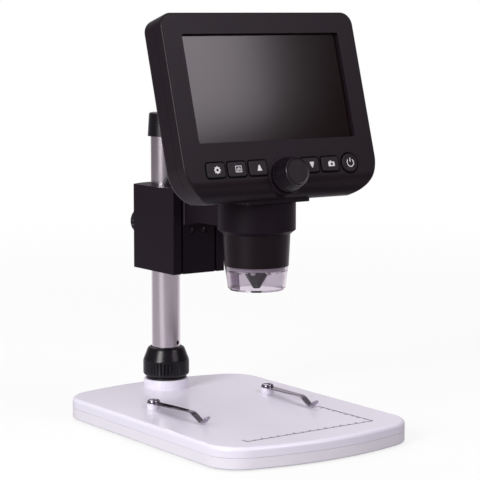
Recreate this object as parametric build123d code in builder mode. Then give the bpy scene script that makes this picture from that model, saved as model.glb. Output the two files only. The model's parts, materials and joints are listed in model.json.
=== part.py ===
from build123d import *
from math import atan2, cos, degrees, pi, radians, sin, sqrt, tan
import os

# A bench microscope with its own screen, in millimetres.
# X runs to the right, Y to the back and Z up. The origin is the centre of the base's underside.

# ---- fits shared by several pieces ----
running_fit = 0.05       # radial clearance of a shaft, a post or a slide in its hole
slip_fit = 0.1           # clearance of a piece that is fixed but drops in by hand
slide_gap = 0.15         # clearance on each face of a dovetail

# ---- base ----
base_width = 120.0
base_depth = 176.2
base_height = 11.2
base_bow = 11.0          # how far the front and back edges bulge past the corners
base_corner = 19.5
base_edge = 2.0          # rounding of the cover's top edge
seam_height = 5.9        # where the cover meets the bottom plate
seam_gap = 0.12
cover_wall = 2.4
cover_top = 2.6
plate_floor = 2.0
plate_wall = 2.2
plate_edge = 0.8
foot_radius = 6.0
foot_height = 1.8
foot_sunk = 0.9
foot_x, foot_y = base_width / 2 - 13, base_depth / 2 - 26.1
screw_x, screw_front, screw_back = base_width / 2 - 10, 20 - foot_y, foot_y - 24
screw_places = [(-screw_x, screw_front), (screw_x, screw_front), (-screw_x, screw_back), (screw_x, screw_back),
                (0, 10.1 - base_depth / 2), (0, screw_back - 2)]
base_screw_radius = 1.3
base_screw_head = 2.6
base_screw_boss = 3.4
weight_width, weight_depth, weight_thick = 84.0, base_depth - 106.2, 3.0
weight_y = 60.1 - base_depth / 2

# ---- post, its socket and the clamping nut ----
post_y = base_depth / 2 - 20.8
post_radius = 8.0
post_wall = 1.5
post_top = 164.1
post_hole_radius = 1.2
post_hole_height = 36.9
post_hole_angle = -67.0  # direction that the hole faces, from +X
boss_radius = post_radius + 4.6
boss_height = 5.3
boss_edge = 0.8
collet_radius = post_radius + 1.9
collet_bottom = 3.4
collet_floor = 1.4
collet_top = 29.5
collet_flange = collet_radius + 1.4
collet_flange_thick = 1.1
collet_slot = 1.2
collet_slots = 4
lock_nut_flats = 2 * collet_radius + 5.2
lock_nut_thick = 3.4
nut_bottom = 17.8
nut_grip_low, nut_grip_high = 19.2, 26.9
nut_radius = post_radius + 4.9
nut_foot_radius = post_radius + 3.3
nut_neck_radius = post_radius + 2.4
nut_neck_height = 33.4
nut_mouth_radius = post_radius + 0.6
nut_top = 34.6
nut_flutes = 40
nut_flute_radius = 0.5
cap_low, cap_high = 152.5, 165.5
cap_low_radius, cap_high_radius = post_radius + 1.65, post_radius + 0.85
cap_edge = 1.2

# ---- stage clips ----
clip_x, clip_y = 37.2, 21.3
clip_boss_radius = 3.6
clip_boss_height = 3.0
clip_thick = 0.6
clip_width = 5.0
clip_eye_radius = 3.6
clip_reach = 47.0        # pivot to the point that presses on the base
clip_bend = 37.4         # pivot to the bend where the strip turns down
clip_rise = 1.6          # how much higher the bend is than the eye
clip_tail = 5.4          # length of the turned-up tip
clip_tail_rise = 3.4
clip_lift = 0.35         # free height left between the strip and the base
clip_head_radius = 3.2
clip_head_height = 2.0
clip_screw_radius = 1.5
right_clip_turn = -6.9   # degrees that the right clip stands inwards

# ---- bracket that slides on the post ----
block_half_width = post_radius + 8.6
block_front = post_radius + 25.9   # post axis to the front face
block_side = 6.7         # post axis to the rear corners
block_back = post_radius + 4.7     # post axis to the crown of the bowed back
block_low = 79.7
block_height = 46.4
block_edge = 0.5
thumb_height = 103.1
thumb_knob_radius = 8.0
thumb_knob_end = block_back + 12.6   # post axis to the knob's outer face
thumb_knob_thick = 8.0
thumb_neck_radius = 4.2
thumb_shank_radius = 2.0
pad_thick = 2.0

# ---- dovetail slide, rack and pinion ----
slide_front_half = 10.15
slide_back_half = 12.9
slide_lip = 2.4          # straight part of the slide's edge before it flares
slide_thick = 7.0
groove_gap = 1.3         # open groove between the slide and the rails
rack_width = 6.0
rack_sunk = 2.2
rack_foot_half = 5.8
rack_foot_high = 6.4
rack_module = 1.0
pinion_teeth = 10
pinion_width = 5.0
gear_backlash = 0.3
focus_height = 101.5
focus_shaft_radius = 3.0
focus_knob_radius = 11.0
focus_knob_thick = 12.0
focus_knob_gap = 0.6
focus_flutes = 24
slide_screw_x, slide_screw_z = 3.9, 102.9
slide_screw_head = 1.65
slide_screw_sunk = 1.7
slide_screw_radius = 0.95

# ---- arm and ring that hold the barrel ----
barrel_y = -20.8
ring_radius = 20.4
ring_low, ring_high = 107.0, 124.0
ring_chamfer = 1.9
arm_half_width = 8.9
arm_low, arm_high = 108.9, 121.5
arm_foot_low = 106.5
arm_foot_thick = 2.6
arm_screw_x, arm_screw_z = 6.6, 114.5
arm_screw_radius = 1.25
arm_screw_head = 2.4

# ---- barrel, lamp ring, tip and lens carriage ----
barrel_top_radius = 17.8
barrel_low_radius = 16.8
barrel_low = 90.1
barrel_wall = 2.4
spigot_radius = 15.2
spigot_top = 129.0
bore_radius = 14.3
shelf_low, shelf_high = 90.2, 91.6
shelf_hole = 8.2
tip_low = 77.5
tip_low_radius = 15.1
tip_wall = 1.5
tip_edge = 0.9
tip_bore = 14.9
tip_seat = 88.0          # down to here the tip is bored straight for the barrel's lip
lamp_board_thick = 1.2
lamp_count = 8
lamp_circle = 10.6
lamp_radius = 1.5
lamp_height = 3.0
nose_radius = 7.2
nose_tip_radius = 1.8
nose_low = 78.3
nose_shoulder = 87.6
lens_tube_top = 101.0
carriage_flange_low, carriage_flange_high = 101.0, 106.0
lens_radius = 4.6
lens_rack_width = 3.4
lens_module = 0.6
lens_pinion_teeth = 10
lens_pinion_width = 4.0
grub_radius = 1.5
grub_length = 5.0

# ---- head ----
tilt = 16.4              # how far the face leans back
face_y, face_z = -33.0, 183.1   # centre of the display on the face
head_half_width = 59.9
head_high, head_low = 39.1, -57.2
head_thick = 18.4
top_corner, bottom_corner = 6.8, 19.1
front_edge = 1.1
rear_edge = 3.4
roll_radius = 10.0       # how the lower edge rolls under
under_rise = 2.0         # how far the underside climbs towards the back
under_trim = 0.4         # the roll cuts this much off the outline's lower edge
parting = 6.7            # depth of the line between the shells
parting_gap = 0.15
shell_face = 2.3
shell_wall = 2.1
window_width, window_height = 97.2, 55.8
glass_border = 1.8
glass_thick = 1.0
panel_width, panel_height, panel_thick = 101.6, 64.0, 2.9
board_depth = 8.4
board_thick = 1.6
board_inset = 3.2
board_low = -52.0
key_row = -41.8
key_pitch = 12.7
key_first = 16.3
key_width, key_height = 10.5, 7.3
key_gap = 0.5
key_corner = 1.2
key_proud = 0.8
key_travel = 0.6
key_flange = 0.75
key_flange_thick = 0.8
power_radius = 4.7
stub_length = 0.3
switch_top = 4.1
switch_size = 5.6
dial_v = -46.5
dial_back_radius, dial_front_radius = 8.8, 7.1
dial_gap = 1.2
dial_length = 10.0
dial_flutes = 44
dial_shaft_radius = 3.0
dial_bush_radius = 4.2
dial_boss_radius = 6.0
dial_pinion_depth = 16.0
dial_pinion_front = dial_pinion_depth - 2.8  # the rack leans forward of the pinion above it
dial_pinion_back = dial_pinion_depth + 1.8
dial_seat_radius = 10.1  # raised seat round the dial
dial_seat_height = 0.5
shell_screw_x = 53.4
shell_screw_v = (25.0, -27.0)
shell_screw_radius = 0.9
shell_boss_radius = 2.2
battery_width, battery_height, battery_thick = 62.0, 40.0, 3.6
battery_v = 12.0
usb_v, usb_width, usb_height, usb_length = 12.0, 8.0, 2.8, 6.0
card_v, card_width, card_height, card_length = -8.0, 12.0, 1.6, 14.0

# ---- housing between the head and the barrel ----
neck_half_width = 20.0
neck_edge = 2.4
neck_wall = 1.9
neck_front_y, neck_back_y = -41.2, -0.8
neck_back_high = 138.5
neck_top_v = -26.5       # height on the head's back where the housing runs out
neck_screw_u, neck_screw_v = neck_half_width - 3.8, -36.0
neck_screw_radius = 1.0
sensor_size = 22.0
sensor_thick = 1.4


# ---- planes and axes ----
lean_sin, lean_cos = sin(radians(tilt)), cos(radians(tilt))
face_out = (0, -lean_cos, lean_sin)
face_up = (0, lean_sin, lean_cos)
face_plane = Plane(origin=(0, face_y, face_z), x_dir=(1, 0, 0), z_dir=face_out)
outward = Axis((0, face_y, face_z), face_out)
side_plane = Plane(origin=(0, face_y, face_z), x_dir=face_up, z_dir=(-1, 0, 0))


def on_face(depth):
    """Plane parallel to the head's face, depth millimetres behind it."""
    return face_plane.offset(-depth)


def face_point(u, v, depth):
    """Point that lies u across and v up the face, and depth behind it."""
    y = face_y + v * lean_sin + depth * lean_cos
    return (u, y, face_z + v * lean_cos - depth * lean_sin)


def upright(x, y):
    """Plane for the half-section of a piece turned about a vertical line through x, y."""
    return Plane(origin=(x, y, 0), x_dir=(1, 0, 0), z_dir=(0, -1, 0))


def vertical(x, y):
    return Axis((x, y, 0), (0, 0, 1))


def dome(radius, low, rise):
    """Quarter of a domed top, from its rim up to the axis."""
    sphere = (radius ** 2 + rise ** 2) / (2 * rise)
    spread = degrees(atan2(radius, sphere - rise))
    return CenterArc((0, low + rise - sphere), sphere, 90 - spread, spread)


def tooth_profile(module, count):
    """Outline of a small spur gear: straight flanks narrowed by the backlash."""
    pitch_radius = module * count / 2
    tip, root = pitch_radius + 0.9 * module, pitch_radius - 1.15 * module
    half_pitch = pi / count / 2 - gear_backlash / 2 / pitch_radius
    slope = 0.36 * module / pitch_radius
    points = []
    for tooth in range(count):
        centre = 2 * pi * tooth / count
        root_half, tip_half = half_pitch + 1.15 * slope, half_pitch - 0.9 * slope
        for radius, angle in ((root, -root_half), (tip, -tip_half), (tip, tip_half), (root, root_half)):
            points.append((radius * cos(centre + angle), radius * sin(centre + angle)))
    return points


# =============================== base ===============================
side_y = base_depth / 2 - base_bow
cover_low = seam_height + seam_gap / 2
plate_high = seam_height - seam_gap / 2
boss_top = base_height + boss_height
clip_seat = base_height + clip_boss_height

with BuildSketch() as base_outline:
    with BuildLine():
        bow_front = ThreePointArc((-base_width / 2, -side_y), (0, -base_depth / 2), (base_width / 2, -side_y))
        bow_back = ThreePointArc((base_width / 2, side_y), (0, base_depth / 2), (-base_width / 2, side_y))
        Line(bow_front @ 1, bow_back @ 0)
        Line(bow_back @ 1, bow_front @ 0)
    make_face()
    fillet(base_outline.vertices(), base_corner)

with BuildSketch() as cover_inside:
    add(base_outline.sketch)
    offset(amount=-cover_wall, mode=Mode.REPLACE)

with BuildPart() as base_cover:
    with BuildSketch(Plane.XY.offset(cover_low)):
        add(base_outline.sketch)
    extrude(amount=base_height - cover_low)
    fillet(base_cover.faces().sort_by(Axis.Z)[-1].edges(), base_edge)
    with BuildSketch(Plane.XY.offset(cover_low)):
        add(cover_inside.sketch)
    extrude(amount=base_height - cover_top - cover_low, mode=Mode.SUBTRACT)
    with BuildSketch(Plane.XY.offset(plate_floor + slip_fit)):          # screw bosses
        with Locations(*screw_places):
            Circle(base_screw_boss)
    extrude(amount=base_height - cover_top - plate_floor)
    with BuildSketch(Plane.XY.offset(base_height - cover_top)):         # raised socket boss
        with Locations((0, post_y)):
            Circle(boss_radius)
    extrude(amount=boss_top - base_height + cover_top)
    fillet(base_cover.faces().sort_by(Axis.Z)[-1].edges(), boss_edge)
    with BuildSketch(Plane.XY.offset(base_height - cover_top - 3)):     # clip bosses, inside and on top
        with Locations((-clip_x, clip_y), (clip_x, clip_y)):
            Circle(clip_boss_radius)
    extrude(amount=clip_seat - base_height + cover_top + 3)
    with Locations((0, post_y, boss_top)):
        Hole(collet_radius + slip_fit)
    with Locations(*[(x, y, plate_floor) for x, y in screw_places]):
        Cylinder(base_screw_radius, base_height - cover_top - plate_floor,
                 align=(Align.CENTER, Align.CENTER, Align.MIN), mode=Mode.SUBTRACT)
    with Locations((-clip_x, clip_y, clip_seat), (clip_x, clip_y, clip_seat)):
        Hole(clip_screw_radius + running_fit)

with BuildPart() as base_plate:
    with BuildSketch():
        add(base_outline.sketch)
    extrude(amount=plate_high)
    fillet(base_plate.faces().sort_by(Axis.Z)[0].edges(), plate_edge)
    with BuildSketch(Plane.XY.offset(plate_floor)):
        add(base_outline.sketch)
        offset(amount=-plate_wall, mode=Mode.REPLACE)
    extrude(amount=plate_high - plate_floor, mode=Mode.SUBTRACT)
    with BuildSketch():
        with GridLocations(2 * foot_x, 2 * foot_y, 2, 2):
            Circle(foot_radius + slip_fit)
    extrude(amount=foot_sunk, mode=Mode.SUBTRACT)
    with Locations(Plane.XY.rotated((180, 0, 0))):
        with Locations(*[(x, -y) for x, y in screw_places]):
            CounterBoreHole(base_screw_radius + running_fit, base_screw_head + slip_fit, 1.2, depth=plate_floor)

with BuildPart() as rubber_feet:
    with BuildSketch(Plane.XY.offset(foot_sunk - foot_height)):
        with GridLocations(2 * foot_x, 2 * foot_y, 2, 2):
            Circle(foot_radius)
    extrude(amount=foot_height)
    fillet(rubber_feet.faces().group_by(Axis.Z)[0].edges(), 0.4)

with BuildPart() as base_screws:
    for x, y in screw_places:
        with Locations((x, y, 0.2)):
            Cylinder(base_screw_head, 1.0, align=(Align.CENTER, Align.CENTER, Align.MIN))
        with Locations((x, y, 1.0)):
            Cylinder(base_screw_radius - running_fit, 6.0, align=(Align.CENTER, Align.CENTER, Align.MIN))

with BuildPart() as base_weight:
    with BuildSketch(Plane.XY.offset(plate_floor)):
        with Locations((0, weight_y)):
            RectangleRounded(weight_width, weight_depth, 4)
    extrude(amount=weight_thick)

# =============================== post ===============================
collet_seat = boss_top + collet_flange_thick
post_bottom = collet_bottom + collet_floor

with BuildPart() as post_collet:
    with BuildSketch(upright(0, post_y)):
        with BuildLine():
            Polyline((0, collet_bottom), (collet_radius, collet_bottom), (collet_radius, boss_top),
                     (collet_flange, boss_top), (collet_flange, collet_seat), (collet_radius, collet_seat),
                     (collet_radius, collet_top - 4), (post_radius + 0.9, collet_top),
                     (post_radius + running_fit, collet_top), (post_radius + running_fit, post_bottom),
                     (0, post_bottom), close=True)
        make_face()
    revolve(axis=vertical(0, post_y))
    with BuildSketch(Plane.XY.offset(collet_seat + 2)):                 # slots between the gripping fingers
        with Locations((0, post_y)):
            with PolarLocations(0, collet_slots // 2, start_angle=45, angular_range=180):
                Rectangle(3 * collet_radius, collet_slot)
    extrude(amount=collet_top - collet_seat, mode=Mode.SUBTRACT)

with BuildPart() as socket_nut:
    with BuildSketch(Plane.XY.offset(base_height - cover_top - lock_nut_thick)):
        with Locations((0, post_y)):
            RegularPolygon(lock_nut_flats / 2, 6, major_radius=False)
            Circle(collet_radius + running_fit, mode=Mode.SUBTRACT)
    extrude(amount=lock_nut_thick)

with BuildPart() as collar_nut:
    bore = collet_radius + running_fit
    with BuildSketch(upright(0, post_y)):
        with BuildLine():
            Polyline((bore, nut_bottom), (nut_foot_radius, nut_bottom), (nut_radius, nut_grip_low),
                     (nut_radius, nut_grip_high), (nut_neck_radius, nut_neck_height),
                     (nut_mouth_radius, nut_top), (post_radius + 2 * slip_fit, nut_top - 0.8),
                     (post_radius + 2 * slip_fit, collet_top + 1), (post_radius + 0.9 + running_fit, collet_top + 0.2),
                     (bore, collet_top - 4), close=True)
        make_face()
    revolve(axis=vertical(0, post_y))
    with BuildSketch(Plane.XY.offset(nut_bottom)):                      # fluted grip
        with Locations((0, post_y)):
            with PolarLocations(nut_radius, nut_flutes):
                Circle(nut_flute_radius)
    extrude(amount=nut_grip_high - nut_bottom, mode=Mode.SUBTRACT)

with BuildPart() as post_tube:
    with BuildSketch(Plane.XY.offset(post_bottom)):
        with Locations((0, post_y)):
            Circle(post_radius)
            Circle(post_radius - post_wall, mode=Mode.SUBTRACT)
    extrude(amount=post_top - post_bottom)
    hole_dir = (cos(radians(post_hole_angle)), sin(radians(post_hole_angle)), 0)
    with BuildSketch(Plane(origin=(0, post_y, post_hole_height), z_dir=hole_dir)):
        Circle(post_hole_radius)
    extrude(amount=post_radius + 1, mode=Mode.SUBTRACT)

with BuildPart() as post_cap:
    with BuildSketch(upright(0, post_y)):
        with BuildLine():
            Polyline((post_radius + running_fit, cap_low), (cap_low_radius, cap_low),
                     (cap_high_radius, cap_high), (0, cap_high), (0, post_top),
                     (post_radius + running_fit, post_top), close=True)
        make_face()
    revolve(axis=vertical(0, post_y))
    fillet(post_cap.faces().sort_by(Axis.Z)[-1].edges(), cap_edge)

# ============================ stage clips ============================
strip_seat = clip_seat + clip_thick / 2
strip_low = base_height + clip_lift + clip_thick / 2


def clip_points():
    """Centre line of the spring strip as (distance from the pivot, height)."""
    return [(0, strip_seat), (clip_eye_radius + 1, strip_seat), (clip_bend, strip_seat + clip_rise), (clip_reach, strip_low),
            (clip_reach + clip_tail, strip_low + clip_tail_rise)]


def clip_frame(side):
    """Plane across the clip's pivot: local x runs along the strip and local y runs up."""
    turn = radians(0 if side < 0 else right_clip_turn)
    along = (sin(turn), -cos(turn), 0)
    across = (-cos(turn), -sin(turn), 0)
    return Plane(origin=(side * clip_x, clip_y, 0), x_dir=along, z_dir=across)


with BuildPart() as clip_left:
    with BuildSketch(clip_frame(-1)):
        with BuildLine():
            FilletPolyline(*clip_points(), radius=1.8)
        trace(line_width=clip_thick)
    extrude(amount=clip_width / 2, both=True)
    with Locations((-clip_x, clip_y, clip_seat)):
        Cylinder(clip_eye_radius, clip_thick, align=(Align.CENTER, Align.CENTER, Align.MIN))
        Cylinder(clip_screw_radius + running_fit, 6, mode=Mode.SUBTRACT)

with BuildPart() as clip_right:
    with BuildSketch(clip_frame(1)):
        with BuildLine():
            FilletPolyline(*clip_points(), radius=1.8)
        trace(line_width=clip_thick)
    extrude(amount=clip_width / 2, both=True)
    with Locations((clip_x, clip_y, clip_seat)):
        Cylinder(clip_eye_radius, clip_thick, align=(Align.CENTER, Align.CENTER, Align.MIN))
        Cylinder(clip_screw_radius + running_fit, 6, mode=Mode.SUBTRACT)

with BuildPart() as clip_screws:
    under_head = clip_seat + clip_thick + running_fit
    for side in (-1, 1):
        with BuildSketch(upright(side * clip_x, clip_y)):
            with BuildLine():
                rim = Polyline((0, under_head - 7), (clip_screw_radius, under_head - 7),
                               (clip_screw_radius, under_head), (clip_head_radius, under_head),
                               (clip_head_radius, under_head + 0.4))
                crown = dome(clip_head_radius, under_head + 0.4, clip_head_height - 0.4)
                Line(crown @ 1, rim @ 0)
            make_face()
        revolve(axis=vertical(side * clip_x, clip_y))

# ============================== bracket ==============================
front_y = post_y - block_front
block_high = block_low + block_height
rail_half = slide_front_half + groove_gap
channel_y = front_y + slide_thick + slide_gap
pitch_radius = rack_module * pinion_teeth / 2
rack_tip_y = front_y + slide_thick + rack_module
pinion_y = rack_tip_y - 0.9 * rack_module + pitch_radius

with BuildPart() as bracket_block:
    with BuildSketch(Plane.XY.offset(block_low)):
        with BuildLine():
            outer = Polyline((-block_half_width, post_y + block_side), (-block_half_width, front_y),
                             (block_half_width, front_y), (block_half_width, post_y + block_side))
            ThreePointArc(outer @ 1, (0, post_y + block_back), outer @ 0)
        make_face()
        fillet(outer.vertices()[1:3], block_edge)
        with Locations((0, post_y)):
            Circle(post_radius + running_fit, mode=Mode.SUBTRACT)
        with BuildLine():                                               # dovetail channel
            Polyline((-rail_half, front_y - 1), (-rail_half, front_y + slide_lip),
                     (-slide_back_half - slide_gap, channel_y), (slide_back_half + slide_gap, channel_y),
                     (rail_half, front_y + slide_lip), (rail_half, front_y - 1), close=True)
        make_face(mode=Mode.SUBTRACT)
        with Locations((0, channel_y)):                                 # clearance for the rack's teeth
            Rectangle(rack_width + 1.2, 2 * (rack_tip_y - channel_y + 0.4), mode=Mode.SUBTRACT)
    extrude(amount=block_height)
    with BuildSketch(Plane.YZ.offset(-pinion_width / 2 - 0.4)):         # pocket for the pinion
        with Locations((pinion_y, focus_height)):
            Circle(pitch_radius + rack_module + 0.5)
    extrude(amount=pinion_width + 0.8, mode=Mode.SUBTRACT)
    with BuildSketch(Plane.YZ.offset(-pinion_width / 2 - 6)):           # bearing for the pinion's shaft
        with Locations((pinion_y, focus_height)):
            Circle(focus_shaft_radius + running_fit)
    extrude(amount=block_half_width + pinion_width + 10, mode=Mode.SUBTRACT)
    with BuildSketch(Plane.XZ.offset(-post_y)):                         # tapped hole for the thumb screw
        with Locations((0, thumb_height)):
            Circle(thumb_shank_radius + running_fit)
    extrude(amount=-block_back - 2, mode=Mode.SUBTRACT)

with BuildPart() as brake_pad:
    with BuildSketch(Plane.XZ.offset(-post_y)):
        with Locations((0, thumb_height)):
            Circle(thumb_shank_radius - running_fit)
    extrude(amount=-(post_radius + pad_thick))
    with BuildSketch(Plane.XY.offset(block_low)):
        with Locations((0, post_y)):
            Circle(post_radius + running_fit)
    extrude(amount=block_height, mode=Mode.SUBTRACT)

with BuildPart() as thumb_screw:
    knob_y = post_y + thumb_knob_end
    with BuildSketch(Plane(origin=(0, knob_y, thumb_height), z_dir=(0, -1, 0))):
        Circle(thumb_knob_radius)
    extrude(amount=thumb_knob_thick)
    fillet(thumb_screw.faces().sort_by(Axis.Y)[-1].edges(), 0.8)
    with BuildSketch(Plane(origin=(0, knob_y - 1, thumb_height), z_dir=(0, -1, 0))):
        with PolarLocations(thumb_knob_radius + 0.35, 18):
            Circle(0.7)
    extrude(amount=thumb_knob_thick - 1, mode=Mode.SUBTRACT)
    with BuildSketch(Plane(origin=(0, knob_y - thumb_knob_thick, thumb_height), z_dir=(0, -1, 0))):
        Circle(thumb_neck_radius)
    extrude(amount=thumb_knob_end - thumb_knob_thick - block_back - 0.3)
    with BuildSketch(Plane(origin=(0, knob_y - 2, thumb_height), z_dir=(0, -1, 0))):
        Circle(thumb_shank_radius)
    extrude(amount=thumb_knob_end - 2 - post_radius - pad_thick - running_fit)

with BuildPart() as focus_shaft:
    with BuildSketch(Plane.YZ.offset(-pinion_width / 2)):
        with Locations((pinion_y, focus_height)):
            Polygon(*tooth_profile(rack_module, pinion_teeth), rotation=180 / pinion_teeth, align=None)
    extrude(amount=pinion_width)
    with BuildSketch(Plane.YZ.offset(-pinion_width / 2 - 5.5)):
        with Locations((pinion_y, focus_height)):
            Circle(focus_shaft_radius)
    extrude(amount=5.5 + pinion_width / 2 + block_half_width + focus_knob_gap + focus_knob_thick - 3)

with BuildPart() as focus_knob:
    knob_start = block_half_width + focus_knob_gap
    with BuildSketch(Plane.YZ.offset(knob_start)):
        with Locations((pinion_y, focus_height)):
            Circle(focus_knob_radius)
    extrude(amount=focus_knob_thick)
    fillet(focus_knob.faces().sort_by(Axis.X)[-1].edges(), 1.2)
    with BuildSketch(Plane.YZ.offset(knob_start + 2)):
        with Locations((pinion_y, focus_height)):
            with PolarLocations(focus_knob_radius + 0.3, focus_flutes):
                Circle(0.85)
    extrude(amount=focus_knob_thick - 4, mode=Mode.SUBTRACT)
    with BuildSketch(Plane.YZ.offset(knob_start)):
        with Locations((pinion_y, focus_height)):
            Circle(focus_shaft_radius + running_fit / 2)
    extrude(amount=focus_knob_thick - 3, mode=Mode.SUBTRACT)

# ======================= dovetail slide and its rack =======================
with BuildPart() as dovetail_slide:
    with BuildSketch(Plane.XY.offset(block_low)):
        with BuildLine():
            Polyline((-slide_front_half, front_y), (-slide_front_half, front_y + slide_lip + 0.4),
                     (-slide_back_half, front_y + slide_thick), (slide_back_half, front_y + slide_thick),
                     (slide_front_half, front_y + slide_lip + 0.4), (slide_front_half, front_y), close=True)
        make_face()
        with Locations((0, front_y + slide_thick)):
            Rectangle(rack_width + 2 * slip_fit, 2 * rack_sunk, mode=Mode.SUBTRACT)
    extrude(amount=block_height)
    with Locations((0, front_y + slide_thick, slide_screw_z)):          # pocket for the rack's foot
        Box(2 * rack_foot_half + 2 * slip_fit, 2 * rack_sunk, rack_foot_high + 2 * slip_fit, mode=Mode.SUBTRACT)
    with Locations(Plane(origin=(0, front_y, 0), x_dir=(1, 0, 0), z_dir=(0, -1, 0))):
        with Locations((-slide_screw_x, slide_screw_z), (slide_screw_x, slide_screw_z)):
            CounterBoreHole(slide_screw_radius + running_fit, slide_screw_head + slip_fit, slide_screw_sunk + 1.4,
                            depth=slide_thick)
    with Locations(Plane(origin=(0, front_y + slide_thick, 0), x_dir=(-1, 0, 0), z_dir=(0, 1, 0))):
        with Locations((-arm_screw_x, arm_screw_z), (arm_screw_x, arm_screw_z)):
            CounterBoreHole(arm_screw_radius + running_fit, arm_screw_head + slip_fit, 3.0, depth=slide_thick)

with BuildPart() as slide_screws:
    for x in (-slide_screw_x, slide_screw_x):
        with BuildSketch(Plane(origin=(x, front_y + slide_screw_sunk, slide_screw_z), z_dir=(0, 1, 0))):
            Circle(slide_screw_head)
            RegularPolygon(0.8, 6, mode=Mode.SUBTRACT)
        extrude(amount=1.4)
        with BuildSketch(Plane(origin=(x, front_y + slide_screw_sunk + 0.9, slide_screw_z), z_dir=(0, 1, 0))):
            Circle(slide_screw_radius)
        extrude(amount=slide_thick - slide_screw_sunk - 1.1)

with BuildPart() as slide_rack:
    rack_back_y = front_y + slide_thick - rack_sunk
    root_y = rack_tip_y - 2.05 * rack_module
    tooth_pitch = pi * rack_module
    half_tooth = tooth_pitch / 4 - gear_backlash / 2
    teeth_below = int((focus_height - block_low - 2) / tooth_pitch)
    teeth_above = int((block_high - focus_height - 2) / tooth_pitch)
    with BuildSketch(Plane.YZ.offset(-rack_width / 2)):
        with Locations((rack_back_y, block_low + 0.5)):
            Rectangle(root_y - rack_back_y, block_height - 1, align=(Align.MIN, Align.MIN))
        with Locations(*[(0, focus_height + n * tooth_pitch) for n in range(-teeth_below, teeth_above + 1)]):
            Polygon((root_y - 0.2, -half_tooth - 0.4 * rack_module), (rack_tip_y, -half_tooth + 0.33 * rack_module),
                    (rack_tip_y, half_tooth - 0.33 * rack_module), (root_y - 0.2, half_tooth + 0.4 * rack_module),
                    align=None)
    extrude(amount=rack_width)
    with Locations((0, (rack_back_y + root_y) / 2, slide_screw_z)):
        Box(2 * rack_foot_half, root_y - rack_back_y, rack_foot_high)
    with BuildSketch(Plane.XZ.offset(-rack_back_y)):                    # threads for the two screws
        with Locations((-slide_screw_x, slide_screw_z), (slide_screw_x, slide_screw_z)):
            Circle(slide_screw_radius)
    extrude(amount=-(root_y - rack_back_y), mode=Mode.SUBTRACT)

# ======================= arm that holds the barrel =======================
ring_back_y = barrel_y + ring_radius
foot_y_front = front_y - arm_foot_thick

with BuildPart() as holder_arm:
    with BuildSketch(upright(0, barrel_y)):
        with BuildLine():
            Polyline((barrel_top_radius - 1, ring_low), (ring_radius - 2.4, ring_low),
                     (ring_radius, ring_low + ring_chamfer), (ring_radius, ring_high - 0.4),
                     (ring_radius - 0.4, ring_high), (barrel_top_radius - 1, ring_high), close=True)
        make_face()
    revolve(axis=vertical(0, barrel_y))
    with BuildSketch(Plane.YZ.offset(-arm_half_width)):
        with BuildLine():
            foot_drop = arm_low - arm_foot_low
            lower = Line((ring_back_y - 6, arm_low), (foot_y_front - foot_drop, arm_low))
            sweep_down = RadiusArc(lower @ 1, (foot_y_front, arm_foot_low), foot_drop)
            Polyline(sweep_down @ 1, (front_y, arm_foot_low), (front_y, arm_high),
                     (ring_back_y - 6, arm_high), lower @ 0)
        make_face()
    extrude(amount=2 * arm_half_width)
    chamfer(holder_arm.edges().filter_by(Axis.Y).group_by(Axis.Z)[-1], 0.6)
    with Locations((0, barrel_y, ring_high)):
        Hole(barrel_top_radius + slip_fit)
    with BuildSketch(Plane.XZ.offset(-front_y)):                        # threads for the arm's screws
        with Locations((-arm_screw_x, arm_screw_z), (arm_screw_x, arm_screw_z)):
            Circle(arm_screw_radius)
    extrude(amount=9, mode=Mode.SUBTRACT)
    with BuildSketch(Plane.YZ):                                         # thread for the grub screw
        with Locations((barrel_y, (ring_low + ring_high) / 2)):
            Circle(grub_radius)
    extrude(amount=ring_radius + 1, mode=Mode.SUBTRACT)

with BuildPart() as arm_screws:
    for x in (-arm_screw_x, arm_screw_x):
        with BuildSketch(Plane(origin=(x, front_y + slide_thick - 3.0, arm_screw_z), z_dir=(0, 1, 0))):
            Circle(arm_screw_head)
            RegularPolygon(1.2, 6, mode=Mode.SUBTRACT)
        extrude(amount=1.8)
        with BuildSketch(Plane(origin=(x, front_y + slide_thick - 3.0, arm_screw_z), z_dir=(0, -1, 0))):
            Circle(arm_screw_radius)
        extrude(amount=slide_thick - 3.0 + 8)

with BuildPart() as ring_screw:
    with BuildSketch(Plane.YZ.offset(barrel_top_radius)):
        with Locations((barrel_y, (ring_low + ring_high) / 2)):
            Circle(grub_radius)
    extrude(amount=ring_radius - barrel_top_radius - 0.2)
    with BuildSketch(Plane.YZ.offset(ring_radius - 1.2)):
        with Locations((barrel_y, (ring_low + ring_high) / 2)):
            RegularPolygon(0.8, 6)
    extrude(amount=1.2, mode=Mode.SUBTRACT)

# ================== barrel, clear tip, lamps and carriage ==================
lip_radius = tip_bore - slip_fit
lip_low = tip_seat + 0.2
flange_radius = bore_radius - running_fit

with BuildPart() as lens_barrel:
    with BuildSketch(upright(0, barrel_y)):
        with BuildLine():
            Polyline((lip_radius, barrel_low), (barrel_low_radius, barrel_low), (barrel_top_radius - 0.2, ring_low - 0.2),
                     (barrel_top_radius, ring_low), (barrel_top_radius, ring_high),
                     (spigot_radius, ring_high), (spigot_radius, spigot_top), (bore_radius, spigot_top),
                     (bore_radius, shelf_high), (shelf_hole, shelf_high), (shelf_hole, shelf_low),
                     (lip_radius - 1.1, shelf_low), (lip_radius - 1.1, lip_low), (lip_radius, lip_low), close=True)
        make_face()
    revolve(axis=vertical(0, barrel_y))

with BuildPart() as clear_tip:
    with BuildSketch(upright(0, barrel_y)):
        with BuildLine():
            Polyline((tip_bore, barrel_low), (barrel_low_radius - 0.1, barrel_low), (tip_low_radius, tip_low + 1.2),
                     (tip_low_radius - tip_edge, tip_low), (tip_low_radius - tip_wall, tip_low),
                     (tip_bore - 0.2, tip_seat - 0.4), (tip_bore, tip_seat), close=True)
        make_face()
    revolve(axis=vertical(0, barrel_y))

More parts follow.
